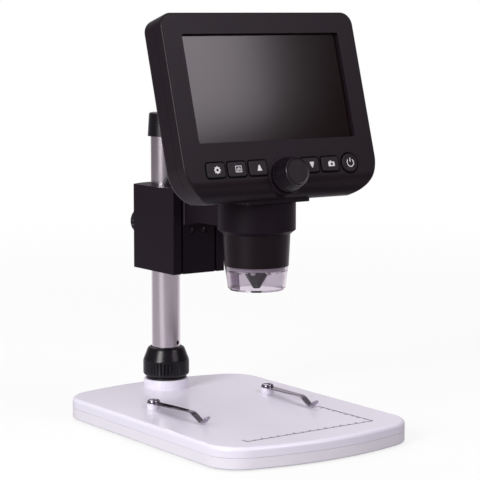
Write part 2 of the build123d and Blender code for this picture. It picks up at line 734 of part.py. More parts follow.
with BuildPart() as lamp_board:
    with BuildSketch(Plane.XY.offset(shelf_low - lamp_board_thick)):
        with Locations((0, barrel_y)):
            Circle(lip_radius - 1.1 - slip_fit)
            Circle(nose_radius + 0.4, mode=Mode.SUBTRACT)
    extrude(amount=lamp_board_thick)

with BuildPart() as lamps:
    board_low_z = shelf_low - lamp_board_thick
    with Locations((0, barrel_y, board_low_z)):
        with PolarLocations(lamp_circle, lamp_count):
            Cylinder(lamp_radius, lamp_height - lamp_radius, align=(Align.CENTER, Align.CENTER, Align.MAX))
    with Locations((0, barrel_y, board_low_z - lamp_height + lamp_radius)):
        with PolarLocations(lamp_circle, lamp_count):
            Sphere(lamp_radius)

lens_pitch = lens_module * lens_pinion_teeth / 2
pinion_point = face_point(0, dial_v, dial_pinion_depth)
lens_rack_tip = lens_pitch - 0.9 * lens_module
lens_rack_root = lens_pitch + 1.15 * lens_module
lens_rack_back = lens_rack_root + 1.9
lens_rack_top = pinion_point[2] + 3.5

with BuildPart() as carriage_teeth:
    with BuildSketch(on_face(dial_pinion_depth + 10)):
        half_tooth = pi * lens_module / 4 - gear_backlash / 2
        with Locations(*[(0, dial_v + n * pi * lens_module) for n in range(-6, 3)]):
            Polygon((lens_rack_root + 0.2, -half_tooth - 0.4 * lens_module),
                    (lens_rack_root + 0.2, half_tooth + 0.4 * lens_module),
                    (lens_rack_tip, half_tooth - 0.3 * lens_module),
                    (lens_rack_tip, -half_tooth + 0.3 * lens_module), align=None)
    extrude(amount=20)
    with Locations((0, pinion_point[1], lens_rack_top)):
        Box(4 * lens_rack_back, lens_rack_width, 14, align=(Align.CENTER, Align.CENTER, Align.MAX),
            mode=Mode.INTERSECT)

with BuildPart() as lens_carriage:
    with BuildSketch(upright(0, barrel_y)):
        with BuildLine():
            Polyline((1.0, nose_low), (nose_tip_radius, nose_low), (nose_radius, nose_shoulder),
                     (nose_radius, carriage_flange_low), (flange_radius, carriage_flange_low),
                     (flange_radius, carriage_flange_high), (lens_radius + running_fit, carriage_flange_high),
                     (lens_radius + running_fit, lens_tube_top), (lens_radius - 0.6, lens_tube_top),
                     (lens_radius - 0.6, nose_shoulder + 2), close=True)
        make_face()
    revolve(axis=vertical(0, barrel_y))
    with Locations((lens_rack_root, pinion_point[1], carriage_flange_high - 1)):
        Box(lens_rack_back - lens_rack_root, lens_rack_width, lens_rack_top - carriage_flange_high + 1,
            align=(Align.MIN, Align.CENTER, Align.MIN))
    add(carriage_teeth.part)

with BuildPart() as objective_lens:
    with BuildSketch(upright(0, barrel_y)):
        with BuildLine():
            lens_side = Polyline((0, lens_tube_top), (lens_radius, lens_tube_top),
                                 (lens_radius, lens_tube_top + 1.6))
            lens_crown = dome(lens_radius, lens_tube_top + 1.6, 1.0)
            Line(lens_crown @ 1, lens_side @ 0)
        make_face()
    revolve(axis=vertical(0, barrel_y))

with BuildPart() as sensor_board:
    with Locations((0, pinion_point[1] + lens_rack_width / 2 + 2.0, spigot_top)):
        Box(2 * (spigot_radius - 0.4), sensor_size, sensor_thick, align=(Align.CENTER, Align.MIN, Align.MIN))
    with Locations((0, barrel_y, spigot_top)):
        Box(9, 9, 1.6, align=(Align.CENTER, Align.CENTER, Align.MAX))

# =============================== head ===============================

with BuildSketch() as head_outline:
    with Locations((0, head_low - under_trim)):
        RectangleRounded(2 * head_half_width, head_high - head_low + under_trim, bottom_corner,
                         align=(Align.CENTER, Align.MIN))
    with Locations((0, head_high)):
        RectangleRounded(2 * head_half_width, 0.6 * (head_high - head_low), top_corner,
                         align=(Align.CENTER, Align.MAX))

with BuildSketch() as side_outline:
    with BuildLine():
        front_line = Line((head_high + 2, 0), (head_low + roll_radius, 0))
        roll_line = ThreePointArc(front_line @ 1,
                                  (head_low + roll_radius * (1 - sin(radians(45))), roll_radius * (1 - cos(radians(45)))),
                                  (head_low, roll_radius))
        Polyline(roll_line @ 1, (head_low + under_rise, head_thick), (head_high + 2, head_thick), front_line @ 0)
    make_face()


def on_front_rim(edge):
    """True for the edges where the face and its rolled lower part meet the sides."""
    local = face_plane.to_local_coords(edge.center())
    across_roll = abs(local.X) < 1 and local.Y < 0
    return local.Z > -roll_radius + 0.5 and not across_roll


with BuildPart() as head_envelope:
    with BuildSketch(on_face(head_thick)):
        add(head_outline.sketch)
    extrude(amount=head_thick)
    fillet(head_envelope.faces().sort_by(outward)[0].edges(), rear_edge)
    with BuildSketch(side_plane.offset(-head_half_width - 1)):
        add(side_outline.sketch)
    extrude(amount=2 * head_half_width + 2, mode=Mode.INTERSECT)
    fillet([edge for edge in head_envelope.edges() if on_front_rim(edge)], front_edge)

with BuildPart() as head_cavity:
    with BuildSketch(on_face(head_thick - shell_wall)):
        add(head_outline.sketch)
        offset(amount=-shell_wall, mode=Mode.REPLACE)
    extrude(amount=head_thick - shell_wall - shell_face)
    with BuildSketch(side_plane.offset(-head_half_width - 1)):
        add(side_outline.sketch)
        offset(amount=-shell_wall, mode=Mode.REPLACE)
    extrude(amount=2 * head_half_width + 2, mode=Mode.INTERSECT)

screw_spots = [(side * shell_screw_x, v) for side in (-1, 1) for v in shell_screw_v]
key_spots = [side * (key_first + n * key_pitch) for side in (-1, 1) for n in range(3)]
power_spot = max(key_spots)
plain_keys = [u for u in key_spots if u != power_spot]
post_spots = [(-51.5, -38.0), (51.5, -38.0), (-40.0, 35.0), (40.0, 35.0)]

with BuildPart() as dial_seat:
    with BuildSketch(on_face(roll_radius - 1)):
        with Locations((0, dial_v)):
            Circle(dial_seat_radius)
    extrude(amount=roll_radius - 1 + dial_seat_height)
    fillet(dial_seat.faces().sort_by(outward)[-1].edges(), 0.3)
    add(head_envelope.part, mode=Mode.SUBTRACT)

with BuildPart() as front_shell:
    add(head_envelope.part)
    add(head_cavity.part, mode=Mode.SUBTRACT)
    with BuildSketch(on_face(parting)):
        Rectangle(3 * head_half_width, 3 * head_half_width)
    extrude(amount=parting + 1, mode=Mode.INTERSECT)
    with BuildSketch(on_face(board_depth)):                             # bosses for screws, board and dial
        with Locations(*screw_spots):
            Circle(shell_boss_radius)
        with Locations(*post_spots):
            Circle(1.7)
        with Locations((0, dial_v)):
            Circle(dial_boss_radius)
    extrude(amount=board_depth - shell_face + 0.3)
    add(dial_seat.part)
    with BuildSketch(on_face(shell_face + 1)):                          # window and key openings
        with Locations((0, 0)):
            RectangleRounded(window_width, window_height, 0.8)
        with Locations(*[(u, key_row) for u in plain_keys]):
            RectangleRounded(key_width + 2 * key_gap, key_height + 2 * key_gap, key_corner + key_gap)
        with Locations((power_spot, key_row)):
            Circle(power_radius + key_gap)
    extrude(amount=shell_face + 3, mode=Mode.SUBTRACT)
    with BuildSketch(on_face(board_depth + 1)):
        with Locations((0, dial_v)):
            Circle(dial_bush_radius)
    extrude(amount=board_depth + 3, mode=Mode.SUBTRACT)
    with BuildSketch(on_face(board_depth + 1)):
        with Locations(*screw_spots):
            Circle(shell_screw_radius)
    extrude(amount=board_depth - 2.5, mode=Mode.SUBTRACT)

with BuildPart() as rear_shell:
    add(head_envelope.part)
    add(head_cavity.part, mode=Mode.SUBTRACT)
    with BuildSketch(on_face(head_thick + 1)):
        Rectangle(3 * head_half_width, 3 * head_half_width)
    extrude(amount=head_thick + 1 - parting - parting_gap, mode=Mode.INTERSECT)
    with BuildSketch(on_face(head_thick - 1)):                          # pillars that meet the front bosses
        with Locations(*screw_spots):
            Circle(shell_boss_radius)
    extrude(amount=head_thick - 1 - board_depth - 0.05)
    with Locations(face_plane.offset(-head_thick)):
        with Locations(*screw_spots):
            Cylinder(shell_screw_radius + 0.15, 30, mode=Mode.SUBTRACT)
            Cylinder(1.8 + slip_fit, 4.0, mode=Mode.SUBTRACT)
    with BuildSketch(on_face(head_thick + 1)):                          # way through for the dial's shaft and rack
        with Locations((1.5, (neck_top_v - 6 + head_low - 4) / 2)):
            Rectangle(14, neck_top_v - 6 - head_low + 4)
    extrude(amount=4.5, mode=Mode.SUBTRACT)
    with Locations((0, barrel_y, spigot_top + 0.4)):                    # round seat for the barrel's neck
        Cylinder(spigot_radius + 2 * slip_fit, 12, align=(Align.CENTER, Align.CENTER, Align.MAX), mode=Mode.SUBTRACT)
    with Locations(face_plane.offset(-head_thick + shell_wall / 2)):
        with Locations((-neck_screw_u, neck_screw_v), (neck_screw_u, neck_screw_v)):
            Cylinder(neck_screw_radius + running_fit, 10, mode=Mode.SUBTRACT)
    with Locations(face_plane.offset(-board_depth - board_thick)):      # openings for the two sockets
        with Locations((head_half_width - 2, usb_v)):
            Box(10, usb_width + 0.6, 2 * usb_height + 0.6, mode=Mode.SUBTRACT)
        with Locations((head_half_width - 2, card_v)):
            Box(10, card_width + 0.6, 2 * card_height + 0.6, mode=Mode.SUBTRACT)

with BuildPart() as shell_screws:
    for u, v in screw_spots:
        spot = face_plane.offset(-head_thick + 2.0)
        with BuildSketch(Plane(origin=face_point(u, v, head_thick - 2.0), x_dir=(1, 0, 0), z_dir=spot.z_dir * -1)):
            Circle(1.8)
        extrude(amount=1.3)
        with BuildSketch(Plane(origin=face_point(u, v, head_thick - 2.0), x_dir=(1, 0, 0), z_dir=spot.z_dir)):
            Circle(shell_screw_radius)
        extrude(amount=head_thick - 2.0 - 4.0)

with BuildPart() as display_glass:
    with BuildSketch(on_face(shell_face + glass_thick)):
        RectangleRounded(window_width + 2 * glass_border, window_height + 2 * glass_border, 1)
    extrude(amount=glass_thick)

with BuildPart() as display_panel:
    with BuildSketch(on_face(shell_face + glass_thick + panel_thick)):
        RectangleRounded(panel_width, panel_height, 1)
    extrude(amount=panel_thick)

with BuildPart() as main_board:
    with BuildSketch(on_face(board_depth + board_thick)):
        add(head_outline.sketch)
        offset(amount=-board_inset, mode=Mode.REPLACE)
        with Locations((0, board_low - 20)):
            Rectangle(3 * head_half_width, 40, mode=Mode.SUBTRACT)
        with Locations(*screw_spots):
            Circle(shell_boss_radius + 0.5, mode=Mode.SUBTRACT)
        with Locations((0, dial_v)):
            Circle(dial_bush_radius + 0.6, mode=Mode.SUBTRACT)
    extrude(amount=board_thick)

with BuildPart() as key_switches:
    with BuildSketch(on_face(board_depth)):
        with Locations(*[(u, key_row) for u in key_spots]):
            Rectangle(switch_size, switch_size)
    extrude(amount=board_depth - switch_top - 0.8)
    with BuildSketch(on_face(board_depth - 1)):
        with Locations(*[(u, key_row) for u in key_spots]):
            Circle(1.6)
    extrude(amount=board_depth - 1 - switch_top)

with BuildPart() as battery:
    with BuildSketch(on_face(board_depth + board_thick + battery_thick)):
        with Locations((0, battery_v)):
            RectangleRounded(battery_width, battery_height, 1.5)
    extrude(amount=battery_thick)

with BuildPart() as usb_socket:
    with BuildSketch(Plane(origin=face_point(head_half_width - 0.6, usb_v, board_depth + board_thick + usb_height / 2),
                           x_dir=face_up, z_dir=(-1, 0, 0))):
        RectangleRounded(usb_width, usb_height, 0.8)
    extrude(amount=usb_length)
    with BuildSketch(Plane(origin=face_point(head_half_width - 0.6, usb_v, board_depth + board_thick + usb_height / 2),
                           x_dir=face_up, z_dir=(-1, 0, 0))):
        RectangleRounded(usb_width - 0.8, usb_height - 0.8, 0.5)
    extrude(amount=usb_length - 1, mode=Mode.SUBTRACT)

with BuildPart() as card_socket:
    with BuildSketch(Plane(origin=face_point(head_half_width - 0.6, card_v,
                                             board_depth + board_thick + card_height / 2),
                           x_dir=face_up, z_dir=(-1, 0, 0))):
        Rectangle(card_width, card_height)
    extrude(amount=card_length)
    with BuildSketch(Plane(origin=face_point(head_half_width - 0.6, card_v,
                                             board_depth + board_thick + card_height / 2),
                           x_dir=face_up, z_dir=(-1, 0, 0))):
        Rectangle(card_width - 0.8, card_height - 0.8)
    extrude(amount=card_length - 1, mode=Mode.SUBTRACT)

# =============================== keys ===============================
flange_front = shell_face + running_fit
with BuildSketch() as key_cap:
    RectangleRounded(key_width, key_height, key_corner)
with BuildSketch() as key_skirt:
    RectangleRounded(key_width + 2 * key_flange, key_height + 2 * key_flange, key_corner)

with BuildPart() as key_left_outer:
    with BuildSketch(Plane(origin=face_point(-key_first - 2 * key_pitch, key_row, flange_front + key_flange_thick),
                           x_dir=(1, 0, 0), z_dir=face_out)):
        add(key_skirt.sketch)
    extrude(amount=key_flange_thick)
    with BuildSketch(Plane(origin=face_point(-key_first - 2 * key_pitch, key_row, flange_front),
                           x_dir=(1, 0, 0), z_dir=face_out)):
        add(key_cap.sketch)
    extrude(amount=flange_front + key_proud)
    fillet(key_left_outer.faces().sort_by(outward)[-1].edges(), 0.35)
    with BuildSketch(Plane(origin=face_point(-key_first - 2 * key_pitch, key_row, flange_front + key_flange_thick),
                           x_dir=(1, 0, 0), z_dir=face_out)):
        Circle(1.5)
    extrude(amount=-stub_length)

with BuildPart() as key_left_middle:
    with BuildSketch(Plane(origin=face_point(-key_first - key_pitch, key_row, flange_front + key_flange_thick),
                           x_dir=(1, 0, 0), z_dir=face_out)):
        add(key_skirt.sketch)
    extrude(amount=key_flange_thick)
    with BuildSketch(Plane(origin=face_point(-key_first - key_pitch, key_row, flange_front),
                           x_dir=(1, 0, 0), z_dir=face_out)):
        add(key_cap.sketch)
    extrude(amount=flange_front + key_proud)
    fillet(key_left_middle.faces().sort_by(outward)[-1].edges(), 0.35)
    with BuildSketch(Plane(origin=face_point(-key_first - key_pitch, key_row, flange_front + key_flange_thick),
                           x_dir=(1, 0, 0), z_dir=face_out)):
        Circle(1.5)
    extrude(amount=-stub_length)

with BuildPart() as key_left_inner:
    with BuildSketch(Plane(origin=face_point(-key_first, key_row, flange_front + key_flange_thick),
                           x_dir=(1, 0, 0), z_dir=face_out)):
        add(key_skirt.sketch)
    extrude(amount=key_flange_thick)
    with BuildSketch(Plane(origin=face_point(-key_first, key_row, flange_front),
                           x_dir=(1, 0, 0), z_dir=face_out)):
        add(key_cap.sketch)
    extrude(amount=flange_front + key_proud)
    fillet(key_left_inner.faces().sort_by(outward)[-1].edges(), 0.35)
    with BuildSketch(Plane(origin=face_point(-key_first, key_row, flange_front + key_flange_thick),
                           x_dir=(1, 0, 0), z_dir=face_out)):
        Circle(1.5)
    extrude(amount=-stub_length)

with BuildPart() as key_right_inner:
    with BuildSketch(Plane(origin=face_point(key_first, key_row, flange_front + key_flange_thick),
                           x_dir=(1, 0, 0), z_dir=face_out)):
        add(key_skirt.sketch)
    extrude(amount=key_flange_thick)
    with BuildSketch(Plane(origin=face_point(key_first, key_row, flange_front),
                           x_dir=(1, 0, 0), z_dir=face_out)):
        add(key_cap.sketch)
    extrude(amount=flange_front + key_proud)
    fillet(key_right_inner.faces().sort_by(outward)[-1].edges(), 0.35)
    with BuildSketch(Plane(origin=face_point(key_first, key_row, flange_front + key_flange_thick),
                           x_dir=(1, 0, 0), z_dir=face_out)):
        Circle(1.5)
    extrude(amount=-stub_length)

with BuildPart() as key_right_middle:
    with BuildSketch(Plane(origin=face_point(key_first + key_pitch, key_row, flange_front + key_flange_thick),
                           x_dir=(1, 0, 0), z_dir=face_out)):
        add(key_skirt.sketch)
    extrude(amount=key_flange_thick)
    with BuildSketch(Plane(origin=face_point(key_first + key_pitch, key_row, flange_front),
                           x_dir=(1, 0, 0), z_dir=face_out)):
        add(key_cap.sketch)
    extrude(amount=flange_front + key_proud)
    fillet(key_right_middle.faces().sort_by(outward)[-1].edges(), 0.35)
    with BuildSketch(Plane(origin=face_point(key_first + key_pitch, key_row, flange_front + key_flange_thick),
                           x_dir=(1, 0, 0), z_dir=face_out)):
        Circle(1.5)
    extrude(amount=-stub_length)

with BuildPart() as key_power:
    with BuildSketch(Plane(origin=face_point(power_spot, key_row, flange_front + key_flange_thick),
                           x_dir=(1, 0, 0), z_dir=face_out)):
        Circle(power_radius + key_flange)
    extrude(amount=key_flange_thick)
    with BuildSketch(Plane(origin=face_point(power_spot, key_row, flange_front), x_dir=(1, 0, 0), z_dir=face_out)):
        Circle(power_radius)
    extrude(amount=flange_front + key_proud)
    fillet(key_power.faces().sort_by(outward)[-1].edges(), 0.35)
    with BuildSketch(Plane(origin=face_point(power_spot, key_row, -key_proud), x_dir=(1, 0, 0), z_dir=face_out)):
        Circle(power_radius - 0.9)
    extrude(amount=-0.4, mode=Mode.SUBTRACT)
    with BuildSketch(Plane(origin=face_point(power_spot, key_row, flange_front + key_flange_thick),
                           x_dir=(1, 0, 0), z_dir=face_out)):
        Circle(1.5)
    extrude(amount=-stub_length)

# ========================= focus dial on the face =========================
dial_origin = face_point(0, dial_v, 0)
dial_plane = Plane(origin=dial_origin, x_dir=(1, 0, 0), z_dir=(0, -lean_sin, -lean_cos))
dial_axis = Axis(dial_origin, face_out)
dial_front = dial_gap + dial_length

with BuildPart() as focus_dial:
    with BuildSketch(dial_plane):
        with BuildLine():
            Polyline((dial_shaft_radius, dial_gap), (dial_back_radius - 0.3, dial_gap),
                     (dial_back_radius, dial_gap + 0.3), (dial_back_radius, dial_gap + 2.2),
                     (dial_front_radius + 0.5, dial_front - 0.4), (dial_front_radius, dial_front),
                     (0, dial_front), (0, dial_front - 2.5), (dial_shaft_radius, dial_front - 2.5), close=True)
        make_face()
    revolve(axis=dial_axis)
    with BuildSketch(Plane(origin=face_point(0, dial_v, -dial_gap), x_dir=(1, 0, 0), z_dir=face_out)):
        with PolarLocations(dial_back_radius + 0.1, dial_flutes):
            Circle(0.4)
    extrude(amount=2.2, mode=Mode.SUBTRACT)

with BuildPart() as dial_shaft:
    with BuildSketch(Plane(origin=face_point(0, dial_v, dial_pinion_front), x_dir=(1, 0, 0), z_dir=face_out)):
        Circle(dial_shaft_radius)
    extrude(amount=dial_pinion_front + dial_front - 2.5)
    with BuildSketch(Plane(origin=face_point(0, dial_v, dial_pinion_back), x_dir=(1, 0, 0), z_dir=face_out)):
        Polygon(*tooth_profile(lens_module, lens_pinion_teeth), rotation=180 / lens_pinion_teeth, align=None)
    extrude(amount=dial_pinion_back - dial_pinion_front)

with BuildPart() as dial_bush:
    with BuildSketch(Plane(origin=face_point(0, dial_v, board_depth - 0.2), x_dir=(1, 0, 0), z_dir=face_out)):
        Circle(dial_bush_radius)
        Circle(dial_shaft_radius + running_fit, mode=Mode.SUBTRACT)
    extrude(amount=board_depth - 0.8)

# ================== housing between the head and the barrel ==================
neck_top = face_point(0, neck_top_v, head_thick)
neck_slope = (neck_top[2] - neck_back_high) / (neck_back_y - neck_top[1])
neck_inside_y = neck_top[1] - 12

with BuildSketch() as neck_side:
    with BuildLine():
        Polyline((neck_front_y, ring_high), (neck_back_y, ring_high), (neck_back_y, neck_back_high),
                 (neck_inside_y, neck_top[2] + 12 * neck_slope), (neck_front_y, neck_back_high + 6),
                 close=True)
    make_face()

with BuildPart() as neck_housing:
    with BuildSketch(Plane.YZ.offset(-neck_half_width)):
        add(neck_side.sketch)
    extrude(amount=2 * neck_half_width)
    fillet(neck_housing.edges().filter_by(Axis.Z), neck_edge)
    with BuildSketch(Plane.YZ.offset(-neck_half_width + neck_wall)):
        add(neck_side.sketch)
        offset(amount=-neck_wall, mode=Mode.REPLACE)
    extrude(amount=2 * (neck_half_width - neck_wall), mode=Mode.SUBTRACT)
    with BuildSketch(Plane(origin=face_point(0, 0, head_thick + 6), x_dir=(1, 0, 0), z_dir=face_out)):
        with Locations((-neck_screw_u, neck_screw_v), (neck_screw_u, neck_screw_v)):
            Circle(2.4)
    extrude(amount=6.5)
    add(head_envelope.part, mode=Mode.SUBTRACT)
    with BuildSketch(Plane(origin=face_point(0, 0, head_thick + 5), x_dir=(1, 0, 0), z_dir=face_out)):
        with Locations((-neck_screw_u, neck_screw_v), (neck_screw_u, neck_screw_v)):
            Circle(neck_screw_radius)
    extrude(amount=6, mode=Mode.SUBTRACT)
    with Locations((0, barrel_y, ring_high)):
        Cylinder(spigot_radius + slip_fit, 6, mode=Mode.SUBTRACT)

with BuildPart() as neck_screws:
    for u in (-neck_screw_u, neck_screw_u):
        with BuildSketch(Plane(origin=face_point(u, neck_screw_v, head_thick - shell_wall), x_dir=(1, 0, 0),
                               z_dir=face_out)):
            Circle(2.0)
        extrude(amount=1.3)
        with BuildSketch(Plane(origin=face_point(u, neck_screw_v, head_thick - shell_wall), x_dir=(1, 0, 0),
                               z_dir=face_out)):
            Circle(neck_screw_radius)
        extrude(amount=-shell_wall - 4)

# =============================== files ===============================
os.makedirs("parts", exist_ok=True)
base_cover.part.label = "base_cover"
export_step(base_cover.part, "parts/base_cover.step")
base_plate.part.label = "base_plate"
export_step(base_plate.part, "parts/base_plate.step")
rubber_feet.part.label = "rubber_feet"
export_step(rubber_feet.part, "parts/rubber_feet.step")
base_screws.part.label = "base_screws"
export_step(base_screws.part, "parts/base_screws.step")
base_weight.part.label = "base_weight"
export_step(base_weight.part, "parts/base_weight.step")
post_collet.part.label = "post_collet"
export_step(post_collet.part, "parts/post_collet.step")
socket_nut.part.label = "socket_nut"
export_step(socket_nut.part, "parts/socket_nut.step")
collar_nut.part.label = "collar_nut"
export_step(collar_nut.part, "parts/collar_nut.step")
post_tube.part.label = "post_tube"
export_step(post_tube.part, "parts/post_tube.step")
post_cap.part.label = "post_cap"
export_step(post_cap.part, "parts/post_cap.step")
clip_left.part.label = "clip_left"
export_step(clip_left.part, "parts/clip_left.step")
clip_right.part.label = "clip_right"
export_step(clip_right.part, "parts/clip_right.step")
clip_screws.part.label = "clip_screws"
export_step(clip_screws.part, "parts/clip_screws.step")
bracket_block.part.label = "bracket_block"
export_step(bracket_block.part, "parts/bracket_block.step")
brake_pad.part.label = "brake_pad"
export_step(brake_pad.part, "parts/brake_pad.step")
thumb_screw.part.label = "thumb_screw"
export_step(thumb_screw.part, "parts/thumb_screw.step")
focus_shaft.part.label = "focus_shaft"
export_step(focus_shaft.part, "parts/focus_shaft.step")
focus_knob.part.label = "focus_knob"
export_step(focus_knob.part, "parts/focus_knob.step")
dovetail_slide.part.label = "dovetail_slide"
export_step(dovetail_slide.part, "parts/dovetail_slide.step")
slide_screws.part.label = "slide_screws"
export_step(slide_screws.part, "parts/slide_screws.step")
slide_rack.part.label = "slide_rack"
export_step(slide_rack.part, "parts/slide_rack.step")
holder_arm.part.label = "holder_arm"
export_step(holder_arm.part, "parts/holder_arm.step")
arm_screws.part.label = "arm_screws"
export_step(arm_screws.part, "parts/arm_screws.step")
ring_screw.part.label = "ring_screw"
export_step(ring_screw.part, "parts/ring_screw.step")
lens_barrel.part.label = "lens_barrel"
export_step(lens_barrel.part, "parts/lens_barrel.step")
clear_tip.part.label = "clear_tip"
export_step(clear_tip.part, "parts/clear_tip.step")
lamp_board.part.label = "lamp_board"
export_step(lamp_board.part, "parts/lamp_board.step")
lamps.part.label = "lamps"
export_step(lamps.part, "parts/lamps.step")
lens_carriage.part.label = "lens_carriage"
export_step(lens_carriage.part, "parts/lens_carriage.step")
objective_lens.part.label = "objective_lens"
export_step(objective_lens.part, "parts/objective_lens.step")
sensor_board.part.label = "sensor_board"
export_step(sensor_board.part, "parts/sensor_board.step")
front_shell.part.label = "front_shell"
export_step(front_shell.part, "parts/front_shell.step")
rear_shell.part.label = "rear_shell"
export_step(rear_shell.part, "parts/rear_shell.step")
shell_screws.part.label = "shell_screws"
export_step(shell_screws.part, "parts/shell_screws.step")
display_glass.part.label = "display_glass"
export_step(display_glass.part, "parts/display_glass.step")
display_panel.part.label = "display_panel"
export_step(display_panel.part, "parts/display_panel.step")
main_board.part.label = "main_board"
export_step(main_board.part, "parts/main_board.step")
key_switches.part.label = "key_switches"
export_step(key_switches.part, "parts/key_switches.step")
battery.part.label = "battery"
export_step(battery.part, "parts/battery.step")
usb_socket.part.label = "usb_socket"
export_step(usb_socket.part, "parts/usb_socket.step")
card_socket.part.label = "card_socket"
export_step(card_socket.part, "parts/card_socket.step")
key_left_outer.part.label = "key_left_outer"
export_step(key_left_outer.part, "parts/key_left_outer.step")
key_left_middle.part.label = "key_left_middle"
export_step(key_left_middle.part, "parts/key_left_middle.step")
key_left_inner.part.label = "key_left_inner"
export_step(key_left_inner.part, "parts/key_left_inner.step")
key_right_inner.part.label = "key_right_inner"
export_step(key_right_inner.part, "parts/key_right_inner.step")
key_right_middle.part.label = "key_right_middle"
export_step(key_right_middle.part, "parts/key_right_middle.step")
key_power.part.label = "key_power"
export_step(key_power.part, "parts/key_power.step")
focus_dial.part.label = "focus_dial"
export_step(focus_dial.part, "parts/focus_dial.step")
dial_shaft.part.label = "dial_shaft"
export_step(dial_shaft.part, "parts/dial_shaft.step")
dial_bush.part.label = "dial_bush"
export_step(dial_bush.part, "parts/dial_bush.step")
neck_housing.part.label = "neck_housing"
export_step(neck_housing.part, "parts/neck_housing.step")
neck_screws.part.label = "neck_screws"
export_step(neck_screws.part, "parts/neck_screws.step")
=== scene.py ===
import json
import math

import bmesh
import bpy
import numpy as np
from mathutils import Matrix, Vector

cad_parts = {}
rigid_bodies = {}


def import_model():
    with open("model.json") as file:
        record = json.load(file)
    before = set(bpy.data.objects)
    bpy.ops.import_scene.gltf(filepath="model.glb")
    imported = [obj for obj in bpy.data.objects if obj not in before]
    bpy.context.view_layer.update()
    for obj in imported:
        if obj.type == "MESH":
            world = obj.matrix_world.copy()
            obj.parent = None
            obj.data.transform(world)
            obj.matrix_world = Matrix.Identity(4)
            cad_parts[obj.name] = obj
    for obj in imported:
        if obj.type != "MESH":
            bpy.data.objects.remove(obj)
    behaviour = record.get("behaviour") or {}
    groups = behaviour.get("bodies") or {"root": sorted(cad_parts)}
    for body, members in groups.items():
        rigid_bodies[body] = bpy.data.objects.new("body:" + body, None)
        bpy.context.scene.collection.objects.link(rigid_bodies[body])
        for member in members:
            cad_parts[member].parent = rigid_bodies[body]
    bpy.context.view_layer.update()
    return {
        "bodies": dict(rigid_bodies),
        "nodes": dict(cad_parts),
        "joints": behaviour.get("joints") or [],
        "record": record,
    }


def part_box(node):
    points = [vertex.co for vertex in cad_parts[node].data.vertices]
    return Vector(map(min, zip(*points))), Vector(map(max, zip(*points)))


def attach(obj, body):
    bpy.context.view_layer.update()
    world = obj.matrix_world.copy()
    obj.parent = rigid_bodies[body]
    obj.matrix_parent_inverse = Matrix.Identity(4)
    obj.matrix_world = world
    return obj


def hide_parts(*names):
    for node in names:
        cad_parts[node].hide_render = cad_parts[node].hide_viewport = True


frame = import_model()
nodes = frame["nodes"]
slots = {row["node"]: row["material_slot"] for row in frame["record"]["subparts"]}
mm = 0.001  # the pieces are worked out in millimetres
print("frame loaded:", len(nodes), "nodes")


class Value:  # a node's output that takes part in sums
    def __init__(self, finish, socket):
        self.finish = finish
        self.socket = socket

    def sum(self, kind, other, swapped=False):
        pair = (other, self) if swapped else (self, other)
        return self.finish.node("ShaderNodeMath", {"operation": kind}, {0: pair[0], 1: pair[1]})

    def __add__(self, other):
        return self.sum("ADD", other)

    def __radd__(self, other):
        return self.sum("ADD", other, True)

    def __sub__(self, other):
        return self.sum("SUBTRACT", other)

    def __rsub__(self, other):
        return self.sum("SUBTRACT", other, True)

    def __mul__(self, other):
        return self.sum("MULTIPLY", other)

    def __rmul__(self, other):
        return self.sum("MULTIPLY", other, True)

    def __truediv__(self, other):
        return self.sum("DIVIDE", other)

    def __pow__(self, other):
        return self.sum("POWER", other)

    def ramp(self, low, high):  # 0 below low, 1 above high, smooth between
        return self.finish.node("ShaderNodeMapRange", {"interpolation_type": "SMOOTHSTEP"},
                                {0: self, 1: low, 2: high, 3: 0.0, 4: 1.0})


class Finish:  # one material and the nodes that make it
    def __init__(self, name, tree=None):
        self.material = None
        if tree is None:
            self.material = bpy.data.materials.new(name)
            self.material.use_nodes = True
            tree = self.material.node_tree
        self.tree = tree
        self.tree.nodes.clear()

    def node(self, kind, settings, inputs, output=0):
        made = self.tree.nodes.new(kind)
        for key, setting in settings.items():
            setattr(made, key, setting)
        for key, given in inputs.items():
            socket = made.inputs[key]
            if isinstance(given, Value):
                self.tree.links.new(given.socket, socket)
            else:
                socket.default_value = given
        return Value(self, made.outputs[output])

    def place(self, stretch=(1, 1, 1)):  # object coordinates, stretched along the axes
        at = self.node("ShaderNodeTexCoord", {}, {}, "Object")
        return self.node("ShaderNodeMapping", {"vector_type": "POINT"}, {0: at, 3: stretch})

    def noise(self, size, detail=2.0, stretch=(1, 1, 1)):  # blotches about size metres wide
        return self.node("ShaderNodeTexNoise", {}, {"Vector": self.place(stretch), "Scale": 1 / size,
                                                    "Detail": detail}, "Fac")

    def axes(self, vector):
        return [self.node("ShaderNodeSeparateXYZ", {}, {0: vector}, i) for i in range(3)]

    def blend(self, factor, low, high):
        return self.node("ShaderNodeMix", {"data_type": "RGBA"}, {0: factor, 6: low, 7: high}, 2)

    def bump(self, height, distance):
        return self.node("ShaderNodeBump", {}, {"Height": height, "Distance": distance, "Strength": 1.0})

    def surface(self, inputs):
        self.outlet(self.node("ShaderNodeBsdfPrincipled", {}, inputs))
        return self.material

    def outlet(self, shader, kind="ShaderNodeOutputMaterial"):
        out = self.tree.nodes.new(kind)
        self.tree.links.new(shader.socket, out.inputs["Surface"])


def tone(*levels):  # a colour from three levels, or a grey from one
    return (*levels, 1.0) if len(levels) == 3 else (levels[0], levels[0], levels[0], 1.0)


plainPlastic = {"drift": 0.025, "roughDrift": 0.06, "roughGrain": 0.05, "specular": 0.3}  # where a look says nothing


